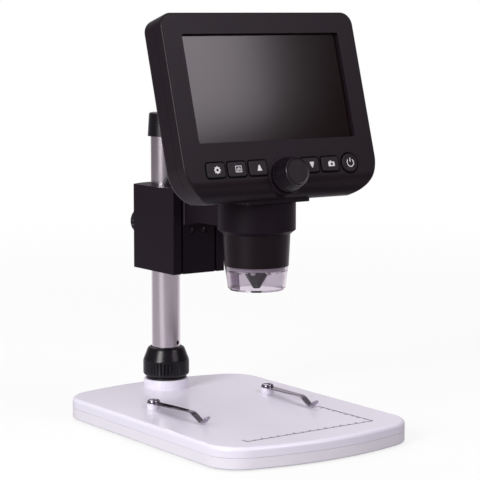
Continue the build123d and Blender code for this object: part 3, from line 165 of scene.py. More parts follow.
def mouldedPlastic(name, look):
    # Grain in the bump from fine noise. A broad noise mixes two colours and moves the gloss.
    f = Finish(name)
    grain = f.noise(look["grain"])
    drift = f.noise(look.get("drift", plainPlastic["drift"]))
    rough = look["rough"] + (drift - 0.5) * look.get("roughDrift", plainPlastic["roughDrift"]) \
        + (grain - 0.5) * plainPlastic["roughGrain"]
    return f.surface({
        "Base Color": f.blend(drift, tone(*look["dark"]), tone(*look["light"])), "Roughness": rough, "IOR": 1.5,
        "Specular IOR Level": look.get("specular", plainPlastic["specular"]),
        "Normal": f.bump(grain, look["grainDepth"]),
    })


def drawnMetal(name, look):
    # Fine and broad noise mix two greys and move the gloss. Stretched along one axis, they are streaks.
    f = Finish(name)
    stretch = look.get("stretch", (1, 1, 1))
    fine = f.noise(look["grain"], 3.0, stretch)
    broad = f.noise(look["grain"] * 14, stretch=stretch)
    rough = look["rough"] + (fine - 0.5) * look["roughDrift"] + (broad - 0.5) * look["roughDrift"]
    return f.surface({
        "Base Color": f.blend(fine * 0.6 + broad * 0.4, tone(*look["dark"]), tone(*look["light"])),
        "Metallic": 1.0, "Roughness": rough, "Normal": f.bump(fine, look["grainDepth"]),
    })


def clearPlastic(name, look):
    # Clear all through, with a faint drift of gloss.
    f = Finish(name)
    return f.surface({
        "Base Color": tone(*look["colour"]), "Roughness": look["rough"] + f.noise(0.01) * 0.03,
        "IOR": look["index"], "Transmission Weight": look["clear"],
    })


plastics = {
    "shell_charcoal": {"dark": (0.0070, 0.0030, 0.0062), "light": (0.0090, 0.0044, 0.0080), "rough": 0.42,
                       "grain": 0.00045, "grainDepth": 0.000018, "specular": 0.22},
    "key_grey": {"dark": (0.0200, 0.0165, 0.0200), "light": (0.0235, 0.0195, 0.0235), "rough": 0.40,
                 "grain": 0.0004, "grainDepth": 0.00001, "specular": 0.12},
    "knob_black": {"dark": (0.0032, 0.0012, 0.0034), "light": (0.0044, 0.0020, 0.0046), "rough": 0.32,
                   "grain": 0.0004, "grainDepth": 0.00001, "specular": 0.36},
    "block_black": {"dark": (0.0090, 0.0056, 0.0092), "light": (0.0110, 0.0072, 0.0112), "rough": 0.42,
                    "grain": 0.0005, "grainDepth": 0.00001, "specular": 0.08},
    "barrel_black": {"dark": (0.0048, 0.0014, 0.0032), "light": (0.0062, 0.0024, 0.0044), "rough": 0.34,
                     "grain": 0.0005, "grainDepth": 0.00001, "specular": 0.2},
    "collar_black": {"dark": (0.0048, 0.0034, 0.0056), "light": (0.0066, 0.0048, 0.0076), "rough": 0.26,
                     "grain": 0.0006, "grainDepth": 0.000006, "specular": 0.3},
    "cover_white": {"dark": (0.70, 0.665, 0.765), "light": (0.75, 0.715, 0.815), "rough": 0.22, "grain": 0.0005,
                    "grainDepth": 0.000003, "drift": 0.05, "roughDrift": 0.04, "specular": 0.5},
    "plate_white": {"dark": (0.69, 0.66, 0.73), "light": (0.74, 0.71, 0.78), "rough": 0.45, "grain": 0.0005,
                    "grainDepth": 0.000012, "drift": 0.05, "specular": 0.4},
    "foot_rubber": {"dark": (0.012, 0.012, 0.012), "light": (0.02, 0.02, 0.02), "rough": 0.8, "grain": 0.0006,
                    "grainDepth": 0.00004},
    "board_green": {"dark": (0.01, 0.07, 0.03), "light": (0.015, 0.09, 0.04), "rough": 0.35, "grain": 0.001,
                    "grainDepth": 0.00001},
    "switch_grey": {"dark": (0.02, 0.02, 0.022), "light": (0.03, 0.03, 0.032), "rough": 0.5, "grain": 0.0006,
                    "grainDepth": 0.00001},
    "brake_pad": {"dark": (0.6, 0.58, 0.52), "light": (0.66, 0.63, 0.57), "rough": 0.5, "grain": 0.0006,
                  "grainDepth": 0.00001},
    "display_glass": {"dark": (0.0056, 0.0024, 0.0023), "light": (0.0064, 0.0029, 0.0028), "rough": 0.13,
                      "roughDrift": 0.02, "grain": 0.0004, "grainDepth": 0.0000004, "specular": 0.5},
    "panel_dark": {"dark": (0.010, 0.009, 0.010), "light": (0.012, 0.010, 0.012), "rough": 0.3, "grain": 0.0003,
                   "grainDepth": 0.000001},
    # rubbed_black: paler than the block, a painted highlight on the bead by the arm's foot
    "rubbed_black": {"dark": (0.014, 0.010, 0.014), "light": (0.018, 0.013, 0.018), "rough": 0.4, "grain": 0.0005,
                     "grainDepth": 0.00001},
    "nose_grey": {"dark": (0.008, 0.003, 0.008), "light": (0.012, 0.006, 0.012), "rough": 0.45, "grain": 0.0005,
                  "grainDepth": 0.00001},
    "liner_pale": {"dark": (0.40, 0.35, 0.41), "light": (0.46, 0.41, 0.47), "rough": 0.5, "grain": 0.0004,
                   "grainDepth": 0.000003},
    # seal_black: near-black rings round the keys, painted shade for the gaps between the keys and the shell
    "seal_black": {"dark": (0.0012, 0.0010, 0.0012), "light": (0.0018, 0.0014, 0.0018), "rough": 0.6, "grain": 0.0004,
                   "grainDepth": 0.000004, "specular": 0.05},
    "sign_white": {"dark": (0.62, 0.60, 0.62), "light": (0.70, 0.68, 0.70), "rough": 0.5, "grain": 0.0003,
                   "grainDepth": 0.000004, "drift": 0.004},
    "scale_ink": {"dark": (0.035, 0.030, 0.050), "light": (0.055, 0.048, 0.075), "rough": 0.5, "grain": 0.0003,
                  "grainDepth": 0.000002, "drift": 0.003},
}
metals = {
    "post_steel": {"dark": (0.54, 0.50, 0.53), "light": (0.70, 0.65, 0.69), "rough": 0.22, "roughDrift": 0.08,
                   "grain": 0.0003, "stretch": (1, 1, 0.02), "grainDepth": 0.000004},
    "screw_steel": {"dark": (0.38, 0.38, 0.39), "light": (0.55, 0.55, 0.56), "rough": 0.3, "roughDrift": 0.1,
                    "grain": 0.0003, "grainDepth": 0.000004},
    "screw_black": {"dark": (0.012, 0.011, 0.012), "light": (0.024, 0.022, 0.024), "rough": 0.25, "roughDrift": 0.1,
                    "grain": 0.0003, "grainDepth": 0.000004},
    "clip_steel": {"dark": (0.33, 0.30, 0.36), "light": (0.40, 0.37, 0.43), "rough": 0.12, "roughDrift": 0.05,
                   "grain": 0.0004, "stretch": (1, 0.06, 1), "grainDepth": 0.000001},
    "gear_brass": {"dark": (0.50, 0.36, 0.14), "light": (0.64, 0.48, 0.20), "rough": 0.3, "roughDrift": 0.1,
                   "grain": 0.0003, "grainDepth": 0.000004},
    "weight_iron": {"dark": (0.20, 0.20, 0.20), "light": (0.30, 0.30, 0.30), "rough": 0.5, "roughDrift": 0.2,
                    "grain": 0.001, "grainDepth": 0.00001},
    "battery_foil": {"dark": (0.55, 0.55, 0.56), "light": (0.65, 0.65, 0.66), "rough": 0.4, "roughDrift": 0.2,
                     "grain": 0.002, "grainDepth": 0.00002},
}
clears = {
    "tip_clear": {"colour": (0.68, 0.65, 0.69), "rough": 0.03, "index": 1.4, "clear": 0.99},
    # tip_shade: a dark see-through strip, painted shade for the dark band in the tip's left wall
    "tip_shade": {"colour": (0.25, 0.19, 0.26), "rough": 0.05, "index": 1.4, "clear": 1.0},
    "lens_glass": {"colour": (0.85, 0.93, 0.95), "rough": 0.0, "index": 1.5, "clear": 1.0},
    "lamp_clear": {"colour": (0.95, 0.95, 0.90), "rough": 0.05, "index": 1.5, "clear": 0.6},
}
finishes = {}
for makeFinish, looks in ((mouldedPlastic, plastics), (drawnMetal, metals), (clearPlastic, clears)):
    for finishName, look in looks.items():
        first, *rest = finishName.split("_")
        finishes[finishName] = makeFinish(first + "".join(word.capitalize() for word in rest), look)
finishes["socket_steel"] = finishes["screw_steel"]

nodeFinish = {"lens_carriage": "nose_grey", "arm_screws": "screw_black", "ring_screw": "screw_black",
              "neck_screws": "screw_black", "slide_screws": "weight_iron"}
for nodeName, obj in nodes.items():
    obj.data.materials.clear()
    obj.data.materials.append(finishes[nodeFinish.get(nodeName, slots[nodeName])])
print("finishes made:", len(finishes))


def gridFaces(rows, columns, closedDown, closedAcross):
    # Quad (i, j), (i, j+1), (i+1, j+1), (i+1, j) for every cell. If closed, the last row or column joins the first.
    i, j = np.meshgrid(np.arange(rows if closedDown else rows - 1),
                       np.arange(columns if closedAcross else columns - 1), indexing="ij")
    down, across = (i + 1) % rows, (j + 1) % columns
    quads = [i * columns + j, i * columns + across, down * columns + across, down * columns + j]
    return np.stack(quads, -1).reshape(-1, 4)


def addPiece(name, sheets, finishName, body, standsFor=(), crease=32.0):
    # The sheets (points, closed down, closed across) become one mesh. Points that meet at a pole or seam are merged.
    points, faces, start = [], [], 0
    for grid, closedDown, closedAcross in sheets:
        rows, columns = grid.shape[:2]
        points.append(grid.reshape(-1, 3))
        faces.append(gridFaces(rows, columns, closedDown, closedAcross) + start)
        start += rows * columns
    points, faces = np.concatenate(points) * mm, np.concatenate(faces)
    mesh = bpy.data.meshes.new(name)
    mesh.from_pydata(points.tolist(), [], faces.tolist())
    cleaned = bmesh.new()
    cleaned.from_mesh(mesh)
    bmesh.ops.remove_doubles(cleaned, verts=cleaned.verts, dist=1e-6)
    bmesh.ops.recalc_face_normals(cleaned, faces=cleaned.faces)
    cleaned.to_mesh(mesh)
    cleaned.free()
    mesh.shade_smooth()
    mesh.set_sharp_from_angle(angle=math.radians(crease))
    mesh.materials.append(finishes[finishName])
    obj = bpy.data.objects.new(name, mesh)
    bpy.context.scene.collection.objects.link(obj)
    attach(obj, body)
    if standsFor:
        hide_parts(*standsFor)
    print("piece", name, len(mesh.polygons), "faces")


def roundedLine(corners, cuts, steps=6):
    # Between p and q, a cut before and after corner b, the line is (1-t)(1-t)p + 2t(1-t)b + t*t*q.
    corners = np.array(corners, float)
    t = np.linspace(0, 1, steps)[:, None]
    line = [corners[:1]]
    for before, corner, after, cut in zip(corners, corners[1:], corners[2:], cuts):
        p = corner + (before - corner) * min(0.49, cut / np.linalg.norm(before - corner))
        q = corner + (after - corner) * min(0.49, cut / np.linalg.norm(after - corner))
        line.append((1 - t) ** 2 * p + 2 * t * (1 - t) * corner + t ** 2 * q)
    line.append(corners[-1:])
    return np.concatenate(line)


def alongLine(line):
    # How far along the line each of its points is
    return np.concatenate([[0], np.cumsum(np.linalg.norm(np.diff(line, axis=0), axis=1))])


def spread(line, step):
    # The same line with points about step apart, at even distances along it.
    gone = alongLine(line)
    keep = np.concatenate([[True], np.diff(gone) > 1e-9])
    gone, line = gone[keep], line[keep]
    at = np.union1d(np.linspace(0, gone[-1], max(2, int(gone[-1] / step) + 1)), gone)
    return np.stack([np.interp(at, gone, line[:, k]) for k in range(line.shape[1])], -1)


def turned(line, sides, origin, axis, side, groove=None):
    # origin + height*axis + (radius - groove(angle, radius, height)) * (cos(angle)*side + sin(angle)*other)
    axis, side = np.array(axis, float), np.array(side, float)
    other = np.cross(axis, side)
    angle = np.arange(sides) * 2 * np.pi / sides
    radius, height = line[:, :1], line[:, 1:]
    if groove is not None:
        radius = radius - groove(angle[None, :], radius, height)
    ring = np.cos(angle)[:, None] * side + np.sin(angle)[:, None] * other
    return np.array(origin, float) + height[..., None] * axis + (radius * np.ones_like(angle))[..., None] * ring


def smooth(x, low, high):  # 0 below low, 1 above high, and t*t*(3-2t) between
    t = np.clip((x - low) / (high - low), 0, 1)
    return t * t * (3 - 2 * t)


def between(x, low, high, fadeIn, fadeOut):  # 0 outside low and high, 1 inside past the fades
    return smooth(x, low, low + fadeIn) * (1 - smooth(x, high - fadeOut, high))


def ribs(piece, low, high, fades, inside):
    # groove*(0.5 + 0.5*cos(ribs*angle))^sharpness between the two heights, and nothing nearer than a radius
    def groove(angle, radius, height):
        there = between(height, low, high, *fades) * (radius > inside)
        return there * piece["groove"] * (0.5 + 0.5 * np.cos(angle * piece["ribs"])) ** piece["sharpness"]
    return groove


def nodeReach(node, axis):
    # Where a node's box starts and stops along an axis, in millimetres
    return [corner[axis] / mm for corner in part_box(node)]


def capped(rows):
    # The grid with a row before and after it that closes its end on that end's middle point
    ends = [np.broadcast_to(row.mean(0), row.shape)[None] for row in (rows[0], rows[-1])]
    return np.concatenate([ends[0], rows, ends[1]])


headFace = {"lean": 16.4, "y": -33.0, "z": 183.1}
leanSin, leanCos = math.sin(math.radians(headFace["lean"])), math.cos(math.radians(headFace["lean"]))
faceOut = np.array((0, -leanCos, leanSin))


def facePoint(u, v, out):
    # (0, y, z) + u*right + v*up the face + out*its outward normal
    u, v, out = np.broadcast_arrays(u, v, out)
    return np.stack([u, headFace["y"] + v * leanSin - out * leanCos, headFace["z"] + v * leanCos + out * leanSin], -1)


dial = {"v": -46.5, "back": 1.2, "length": 10.0, "bore": 3.0, "backRadius": 8.8, "backEdge": (0.2, 0.5),
        "straight": (0.05, 2.2), "frontRadius": 6.9, "frontEdge": (0.4, 0.7), "dish": (0.9, 0.18),
        "rounding": (0.1, 0.3, 0.6, 0.3, 0.2, 0.4), "ribs": 44, "groove": 0.42, "sharpness": 1.6,
        "ribEnds": (0.25, 0.9), "ribFades": (0.65, 0.6)}


def buildDial():
    # The profile goes out from the bore along the back, up the side and in over a slightly dished face.
    back, front = dial["back"], dial["back"] + dial["length"]
    wide, narrow = dial["backRadius"], dial["frontRadius"]
    share, deep = dial["dish"]
    profile = roundedLine([(dial["bore"], back), (wide - dial["backEdge"][0], back), (wide, back + dial["backEdge"][1]),
                           (wide - dial["straight"][0], back + dial["straight"][1]),
                           (narrow + dial["frontEdge"][0], front - dial["frontEdge"][1]), (narrow, front),
                           (narrow * share, front - deep), (0, front - deep)], dial["rounding"])
    ribStart, ribStop = back + dial["ribEnds"][0], front - dial["ribEnds"][1]
    ribbing = ribs(dial, ribStart, ribStop, dial["ribFades"], narrow + 0.2)
    sheet = turned(spread(profile, 0.4), dial["ribs"] * 8, facePoint(0, dial["v"], 0), faceOut, (1, 0, 0), ribbing)
    addPiece("focusDial", [(sheet, False, True)], "knob_black", "dial", ["focus_dial"])


collar = {"y": 67.3, "bore": 9.95, "throat": 8.25, "throatDeep": (0.8, 4.0), "boreReach": (3.0, 9.0),
          "outer": 12.9, "footIn": 1.6, "grip": (1.4, 9.1), "cone": (2.5, 15.6), "lip": (3.1, 0.5), "topIn": 4.3,
          "rounding": (0.2, 0.4, 0.8, 0.9, 1.2, 0.5, 0.4, 0.2, 0.5, 0.5),
          "ribs": 40, "groove": 0.55, "ribFade": 0.9, "ribStep": (0.1, 1.0)}


def buildCollar():
    # A closed profile round the post: a foot, a straight grip, a cone and a lip, then down inside the throat and bore.
    # The grooves are groove*smooth(cos(ribs*angle)) on the grip.
    lowest, highest = nodeReach("collar_nut", 2)
    bore, throat, outer = collar["bore"], collar["throat"], collar["outer"]
    gripLow, gripHigh = (lowest + height for height in collar["grip"])
    boreLow, boreHigh = (lowest + height for height in collar["boreReach"])
    profile = roundedLine([(bore, boreLow), (bore, lowest), (outer - collar["footIn"], lowest), (outer, gripLow),
                           (outer, gripHigh), (outer - collar["cone"][0], lowest + collar["cone"][1]),
                           (outer - collar["lip"][0], highest - collar["lip"][1]), (outer - collar["topIn"], highest),
                           (throat, highest - collar["throatDeep"][0]), (throat, highest - collar["throatDeep"][1]),
                           (bore, boreHigh), (bore, boreLow)], collar["rounding"])

    def groove(angle, radius, height):
        fade = collar["ribFade"]
        there = between(height, gripLow - 0.1, gripHigh + 0.2, fade, fade) * (radius > bore + 1.5)
        return there * collar["groove"] * smooth(np.cos(angle * collar["ribs"]), *collar["ribStep"])

    sheet = turned(spread(profile, 0.5)[:-1], collar["ribs"] * 8, (0, collar["y"], 0), (0, 0, 1), (1, 0, 0), groove)
    addPiece("clampCollar", [(sheet, True, True)], "collar_black", "collar", ["collar_nut"])


thumb = {"z": 103.1, "shank": 2.0, "neck": 4.2, "neckLong": 4.0, "knob": 8.0, "knobLong": 8.0, "backEdge": 0.5,
         "frontEdge": (0.9, 0.8), "rim": 2.6, "hollow": (3.2, 0.5),
         "rounding": (0.2, 0.2, 0.2, 0.3, 0.2, 0.3, 0.5, 0.5, 0.4, 0.3),
         "ribs": 18, "groove": 0.55, "sharpness": 2, "ribEnds": (0.4, 0.6), "ribFades": (1, 1)}


def buildThumb():
    # Turned about a line along Y: shank, neck, then a lobed knob with a shallow hollow in its end.
    near, far = nodeReach("thumb_screw", 1)
    shank, neck, knob, edge = thumb["shank"], thumb["neck"], thumb["knob"], thumb["backEdge"]
    knobBack = far - thumb["knobLong"]
    neckBack = knobBack - thumb["neckLong"]
    hollow, deep = knob - thumb["hollow"][0], far - thumb["hollow"][1]
    profile = roundedLine([(0, near), (shank, near), (shank, neckBack), (neck, neckBack), (neck, knobBack),
                           (knob - edge, knobBack), (knob, knobBack + edge), (knob, far - thumb["frontEdge"][1]),
                           (knob - thumb["frontEdge"][0], far), (knob - thumb["rim"], far), (hollow, deep), (0, deep)],
                          thumb["rounding"])
    lobes = ribs(thumb, knobBack + thumb["ribEnds"][0], far - thumb["ribEnds"][1], thumb["ribFades"], knob - 1)
    sheet = turned(spread(profile, 0.5), thumb["ribs"] * 10, (0, 0, thumb["z"]), (0, 1, 0), (1, 0, 0), lobes)
    addPiece("thumbScrew", [(sheet, False, True)], "knob_black", "thumb", ["thumb_screw"])


coarse = {"y": 45.5, "z": 101.5, "bore": 3.0, "boreDeep": 2.0, "knob": 11.0, "backEdge": 0.6, "frontEdge": (1.3, 1.2),
          "rim": 3.2, "hollow": (4.0, 0.8), "rounding": (0.2, 0.3, 0.4, 0.8, 0.8, 0.5, 0.5),
          "ribs": 24, "groove": 0.75, "sharpness": 2, "ribEnds": (1.0, 1.6), "ribFades": (1, 1)}


def buildCoarseKnob():
    # Turned about a line along X: a ribbed rim and a face with a stepped hollow.
    near, far = nodeReach("focus_knob", 0)
    bore, knob, edge = coarse["bore"], coarse["knob"], coarse["backEdge"]
    hollow, deep = knob - coarse["hollow"][0], far - coarse["hollow"][1]
    profile = roundedLine([(bore, near + coarse["boreDeep"]), (bore, near), (knob - edge, near), (knob, near + edge),
                           (knob, far - coarse["frontEdge"][1]), (knob - coarse["frontEdge"][0], far),
                           (knob - coarse["rim"], far), (hollow, deep), (0, deep)], coarse["rounding"])
    ribbing = ribs(coarse, near + coarse["ribEnds"][0], far - coarse["ribEnds"][1], coarse["ribFades"], knob - 1)
    sheet = turned(spread(profile, 0.6), coarse["ribs"] * 10, (0, coarse["y"], coarse["z"]), (1, 0, 0), (0, 1, 0),
                   ribbing)
    addPiece("coarseKnob", [(sheet, False, True)], "knob_black", "focus", ["focus_knob"])


footBead = {"corner": [(-10.05, 33.38), (-9.0, 33.38), (-9.3, 32.9)], "low": 106.7, "high": 121.2}


def buildFootBead():
    # A three-sided bead up each side of the arm's foot, where it meets the slide, paler than the block as a painted
    # highlight on that edge.
    sheets = []
    for side in (-1, 1):
        corner = np.array(footBead["corner"]) * (-side, 1)
        bead = np.stack([np.insert(corner, 2, footBead[end], axis=1) for end in ("low", "high")])
        sheets.append((capped(bead), False, True))
    addPiece("footBead", sheets, "rubbed_black", "head")


tip = {"y": -20.8, "shadeTurn": (168, 196), "shade": [(13.15, 78.7), (13.4, 78.7), (14.4, 87.4), (14.15, 87.4)],
       "liner": [(14.83, 88.15), (14.88, 88.15), (14.88, 90.0), (14.83, 90.0)]}


def buildTipInside():
    # The pale liner is a thin closed ring. The dark strip, painted shade for the dark band seen through the tip's left
    # wall, is the same kind of profile over part of the turn.
    ring = turned(np.array(tip["liner"]), 96, (0, tip["y"], 0), (0, 0, 1), (1, 0, 0))
    addPiece("tipLiner", [(ring, True, True)], "liner_pale", "head")
    angle = np.radians(np.linspace(*tip["shadeTurn"], 24))[:, None]
    radius, height = np.array(tip["shade"]).T
    shade = np.stack([radius * np.cos(angle), tip["y"] + radius * np.sin(angle), height + 0 * angle], -1)
    addPiece("tipShade", [(capped(shade), False, True)], "tip_shade", "head")


clip = {"x": 37.2, "y": 21.3, "seat": 14.2, "thick": 0.6, "width": 6.2, "tipWidth": 3.5, "eye": 3.6, "bend": 37.6,
        "rise": 1.6, "reach": 47.4, "low": 11.85, "tail": 5.3, "tailRise": 4.2,
        "flat": 1.4, "rounding": (2.0, 2.6, 2.0),
        "tipRound": 1.9, "edgePowers": (0.3, 0.55), "sides": 24,
        "turns": {-1: 0.0, 1: -5.9}}  # degrees, for the left clip and the right


def clipWidth(x, left):
    # The round eye and the tapered strip, joined as (eye^6 + strip^6)^(1/6), with an elliptic end over tipRound.
    eye = np.sqrt(np.clip(clip["eye"] ** 2 - x ** 2, 0.01, None)) * (x < clip["eye"])
    half, tipHalf = clip["width"] / 2, clip["tipWidth"] / 2
    taper = smooth(x, clip["eye"], clip["reach"] + clip["tail"])
    strip = (half + (tipHalf - half) * taper) * smooth(x, 0, clip["eye"])
    end = np.sqrt(np.clip(1 - np.clip(1 - left / clip["tipRound"], 0, 1) ** 2, 0.004, 1))
    return (eye ** 6 + strip ** 6) ** (1 / 6) * end


def buildClip(name, side, body, node):
    # centre + across*width(x)*cos^p + normal*thickness/2*sin^q, with p and q in edgePowers and the signs kept.
    turn = math.radians(clip["turns"][side])
    along, across = np.array((math.sin(turn), -math.cos(turn), 0)), np.array((math.cos(turn), math.sin(turn), 0))
    up = np.array((0, 0, 1.0))
    seat = clip["seat"] + clip["thick"] / 2
    line = roundedLine([(-clip["eye"], seat), (clip["eye"] + clip["flat"], seat), (clip["bend"], seat + clip["rise"]),
                        (clip["reach"], clip["low"]), (clip["reach"] + clip["tail"], clip["low"] + clip["tailRise"])],
                       clip["rounding"], 12)
    line = spread(line, 0.5)
    ends = np.linspace(0, 1, 9)[1:-1, None] ** 2 * 0.98  # closer points where the eye and the tip curve in
    line = np.concatenate([line[:1] + (line[1:2] - line[:1]) * ends, line[1:-1],
                           line[-1:] - (line[-1:] - line[-2:-1]) * ends[::-1]])
    slope = np.gradient(line, axis=0)
    slope /= np.linalg.norm(slope, axis=1)[:, None]
    gone = alongLine(line)
    width = clipWidth(line[:, 0], gone[-1] - gone)
    angle = np.linspace(0, 2 * np.pi, clip["sides"], endpoint=False)
    flatPower, risePower = clip["edgePowers"]
    flat = np.sign(np.cos(angle)) * np.abs(np.cos(angle)) ** flatPower
    rise = np.sign(np.sin(angle)) * np.abs(np.sin(angle)) ** risePower * clip["thick"] / 2
    centre = np.array((side * clip["x"], clip["y"], 0)) + line[:, :1] * along + line[:, 1:] * up
    normal = -slope[:, 1:] * along + slope[:, :1] * up
    grid = centre[:, None] + (width[:, None] * flat)[..., None] * across + rise[None, :, None] * normal[:, None]
    addPiece(name, [(capped(grid), False, True)], "clip_steel", body, [node], 50.0)


clipScrew = {"head": 3.45, "rise": 2.0, "edge": 0.12, "crown": 1.35, "shank": 1.5, "slot": 0.45, "slotReach": 2.0,
             "slotDepth": 0.8, "slotEdge": (0.12, 0.1), "slotEnd": 0.4, "turn": 0.5, "sides": 96}


def buildClipScrews():
    # Over a shank, the pan head is rim + edge + (crown-edge)*(1-(r/R)^5)^0.5, sunk by two crossed slots.
    lowest, highest = nodeReach("clip_screws", 2)
    head, edge, shank, rim = clipScrew["head"], clipScrew["edge"], clipScrew["shank"], highest - clipScrew["rise"]
    turn, sides = clipScrew["turn"], clipScrew["sides"]
    angle = np.arange(sides) * 2 * np.pi / sides + turn
    radius = head * np.concatenate([1 - np.linspace(0, 0.55, 16) ** 2, np.linspace(0.68, 0.0, 34)])[:, None]
    x, y = radius * np.cos(angle), radius * np.sin(angle)
    z = rim + edge + (clipScrew["crown"] - edge) * np.clip(1 - (radius / head) ** 5, 0, 1) ** 0.5 + 0 * x
    wide, reach = clipScrew["slot"], clipScrew["slotReach"]
    sideLow, sideHigh = wide - clipScrew["slotEdge"][0], wide + clipScrew["slotEdge"][1]
    endLow = reach - clipScrew["slotEnd"]
    sunk = [(1 - smooth(np.abs(a), sideLow, sideHigh)) * (1 - smooth(np.abs(b), endLow, reach))
            for a, b in ((x, y), (y, x))]
    crown = np.stack([x, y, z - np.maximum(*sunk) * clipScrew["slotDepth"]], -1)
    under = turned(np.array([(0, lowest), (shank, lowest), (shank, rim), (head - 0.1, rim), (head, rim + edge)]),
                   sides, (0, 0, 0), (0, 0, 1), (math.cos(turn), math.sin(turn), 0))
    sheet = np.concatenate([under, crown])
    sheets = [(sheet + np.array((side * clip["x"], clip["y"], 0)), False, True) for side in (-1, 1)]
    addPiece("clipScrews", sheets, "clip_steel", "base", ["clip_screws"], 40.0)


signs = {"row": -41.8, "first": 16.3, "pitch": 12.7, "proud": 0.8, "thick": 0.05,
         "shift": (0.6, 0.6, 0.6, 0.9, 0.6, 0.25)}
wheelSign = {"radius": 1.55, "tooth": 0.42, "teeth": 8, "hole": 0.72}
chartSign = {"outside": (3.8, 3.3), "inside": (3.1, 2.6), "bar": 0.42, "foot": -0.85,
             "bars": ((-0.8, 1.1), (0.0, 1.7), (0.8, 1.4))}  # each bar's place and height
arrowSign = {"corners": [(-1.4, -1.5), (1.4, -1.5), (0.3, 1.5), (-0.3, 1.5)], "round": 0.2}
cameraSign = {"body": (3.9, 2.4, 0, -0.2), "round": 0.35, "lens": 0.7, "lensAt": (0.25, -0.2),
              "hump": [(-1.3, 1.02), (0.3, 1.02), (0.1, 1.5), (-1.1, 1.5)]}
powerSign = {"outside": 2.3, "inside": 1.86, "from": 130, "to": 410, "stem": (0.46, 2.3, 0, 1.45)}


def keySpots():
    # Each key's distance to the right of the dial: left inner, middle and outer, then right inner, middle and outer
    return [side * (signs["first"] + n * signs["pitch"]) for side in (-1, 1) for n in range(3)]


def plate(outer, inner, u, v, low=signs["proud"] - 0.02, high=signs["proud"] + signs["thick"]):
    # A thin plate between two outlines with the same number of points, or out from a middle point.
    inner = np.broadcast_to(np.array(inner, float), outer.shape)
    loops = [(inner, low), (outer, low), (outer, high), (inner, high)]
    return np.stack([facePoint(u + loop[:, 0], v + loop[:, 1], out) for loop, out in loops])


def outline(corners, cut=0.02, points=72):
    # The closed polygon with rounded corners, at even distances along it.
    start = tuple((np.array(corners[0]) + corners[-1]) / 2)
    line = roundedLine([start, *corners, start], [cut] * len(corners), 5)
    gone = alongLine(line)
    at = np.linspace(0, gone[-1], points, endpoint=False)
    return np.stack([np.interp(at, gone, line[:, k]) for k in (0, 1)], -1)


def box2d(wide, high, x=0.0, y=0.0):  # a rectangle's corners about its middle
    return [(x - wide / 2, y - high / 2), (x + wide / 2, y - high / 2), (x + wide / 2, y + high / 2),
            (x - wide / 2, y + high / 2)]


def ringLine(radius, start=0.0, stop=360.0, points=72):  # radius*cos, radius*sin over a turn in degrees
    angle = np.radians(np.linspace(start, stop, points, endpoint=stop - start < 360))
    return np.stack([radius * np.cos(angle), radius * np.sin(angle)], -1)


def solidSign(line):  # an outline filled out from its middle
    return line, line.mean(0)


def drawSigns():
    # Pairs of outer and inner outlines: a toothed wheel, a framed chart, two arrowheads, a camera, a ring with a stem.
    # The wheel's edge is radius + tooth*smooth(cos(teeth*angle)).
    angle = np.linspace(0, 2 * np.pi, 192, endpoint=False)
    circle = np.stack([np.cos(angle), np.sin(angle)], -1)
    tooth = wheelSign["tooth"] * smooth(np.cos(angle * wheelSign["teeth"]), -0.25, 0.35)
    wheel = (wheelSign["radius"] + tooth)[:, None] * circle
    bars = [outline(box2d(chartSign["bar"], high, x, chartSign["foot"] + high / 2)) for x, high in chartSign["bars"]]
    frame = outline(box2d(*chartSign["outside"]), 0.25), outline(box2d(*chartSign["inside"]), 0.15)
    arrow = outline(arrowSign["corners"], arrowSign["round"])
    case = outline(box2d(*cameraSign["body"]), cameraSign["round"])
    first = np.argmin(np.arctan2(case[:, 1], case[:, 0]) % (2 * np.pi))
    case = np.roll(case, -first, axis=0)  # so that it starts where the lens's ring does
    lens = ringLine(cameraSign["lens"]) + np.array(cameraSign["lensAt"])
    arc = ringLine(1.0, powerSign["from"], powerSign["to"], 60)
    outside, inside = powerSign["outside"], powerSign["inside"]
    ring = np.concatenate([arc * outside, arc[::-1] * inside])
    middle = np.concatenate([arc, arc[::-1]]) * (outside + inside) / 2
    return {"key_left_outer": [(wheel, wheelSign["hole"] * circle)],
            "key_left_middle": [frame] + [solidSign(bar) for bar in bars],
            "key_left_inner": [solidSign(arrow)],
            "key_right_inner": [solidSign(arrow * (1, -1))],
            "key_right_middle": [(case, lens), solidSign(outline(cameraSign["hump"], 0.12))],
            "key_power": [(ring, middle), solidSign(outline(box2d(*powerSign["stem"]), 0.15))]}


def buildSigns():
    # Every outline is a plate on its key, a little to the right of the key's middle.
    keys = ["key_left_inner", "key_left_middle", "key_left_outer", "key_right_inner", "key_right_middle", "key_power"]
    places = dict(zip(keys, keySpots() + np.array(signs["shift"])))
    for key, outlines in drawSigns().items():
        sheets = [(plate(outer, inner, places[key], signs["row"]), False, True) for outer, inner in outlines]
        addPiece("sign" + key[4:].title().replace("_", ""), sheets, "sign_white", key)


# painted shade: flat near-black rings that stand for the shadowed gap round each key
gapShade = {"size": (10.5, 7.3), "corner": 1.2, "power": 4.9, "inside": 0.06, "outside": 0.86, "low": -0.1, "high": 0.03}


def buildGapShade():
    # A flat dark ring round each key, painted shade for the gap round it, between two outlines that follow the key's
    # edge.
    width, height = gapShade["size"]
    near, far = gapShade["inside"], gapShade["outside"]
    inner = outline(box2d(width + 2 * near, height + 2 * near), gapShade["corner"] + near)
    outer = outline(box2d(width + 2 * far, height + 2 * far), gapShade["corner"] + far)
    rings = [(outer, inner)] * 5 + [(ringLine(gapShade["power"] + far), ringLine(gapShade["power"] + near))]
    sheets = [(plate(*ring, u, signs["row"], gapShade["low"], gapShade["high"]), True, True)
              for ring, u in zip(rings, keySpots())]
    addPiece("keySeals", sheets, "seal_black", "head")


scaleMarks = {"top": 11.2, "thick": 0.03, "line": 0.8, "start": (-40.4, -70.4), "corner": (39.62, -68.7),
              "end": (38.25, -24.4), "step": 5.0, "tick": 1.5, "longTick": 2.6, "endTick": 4.5, "tickLine": 0.64}


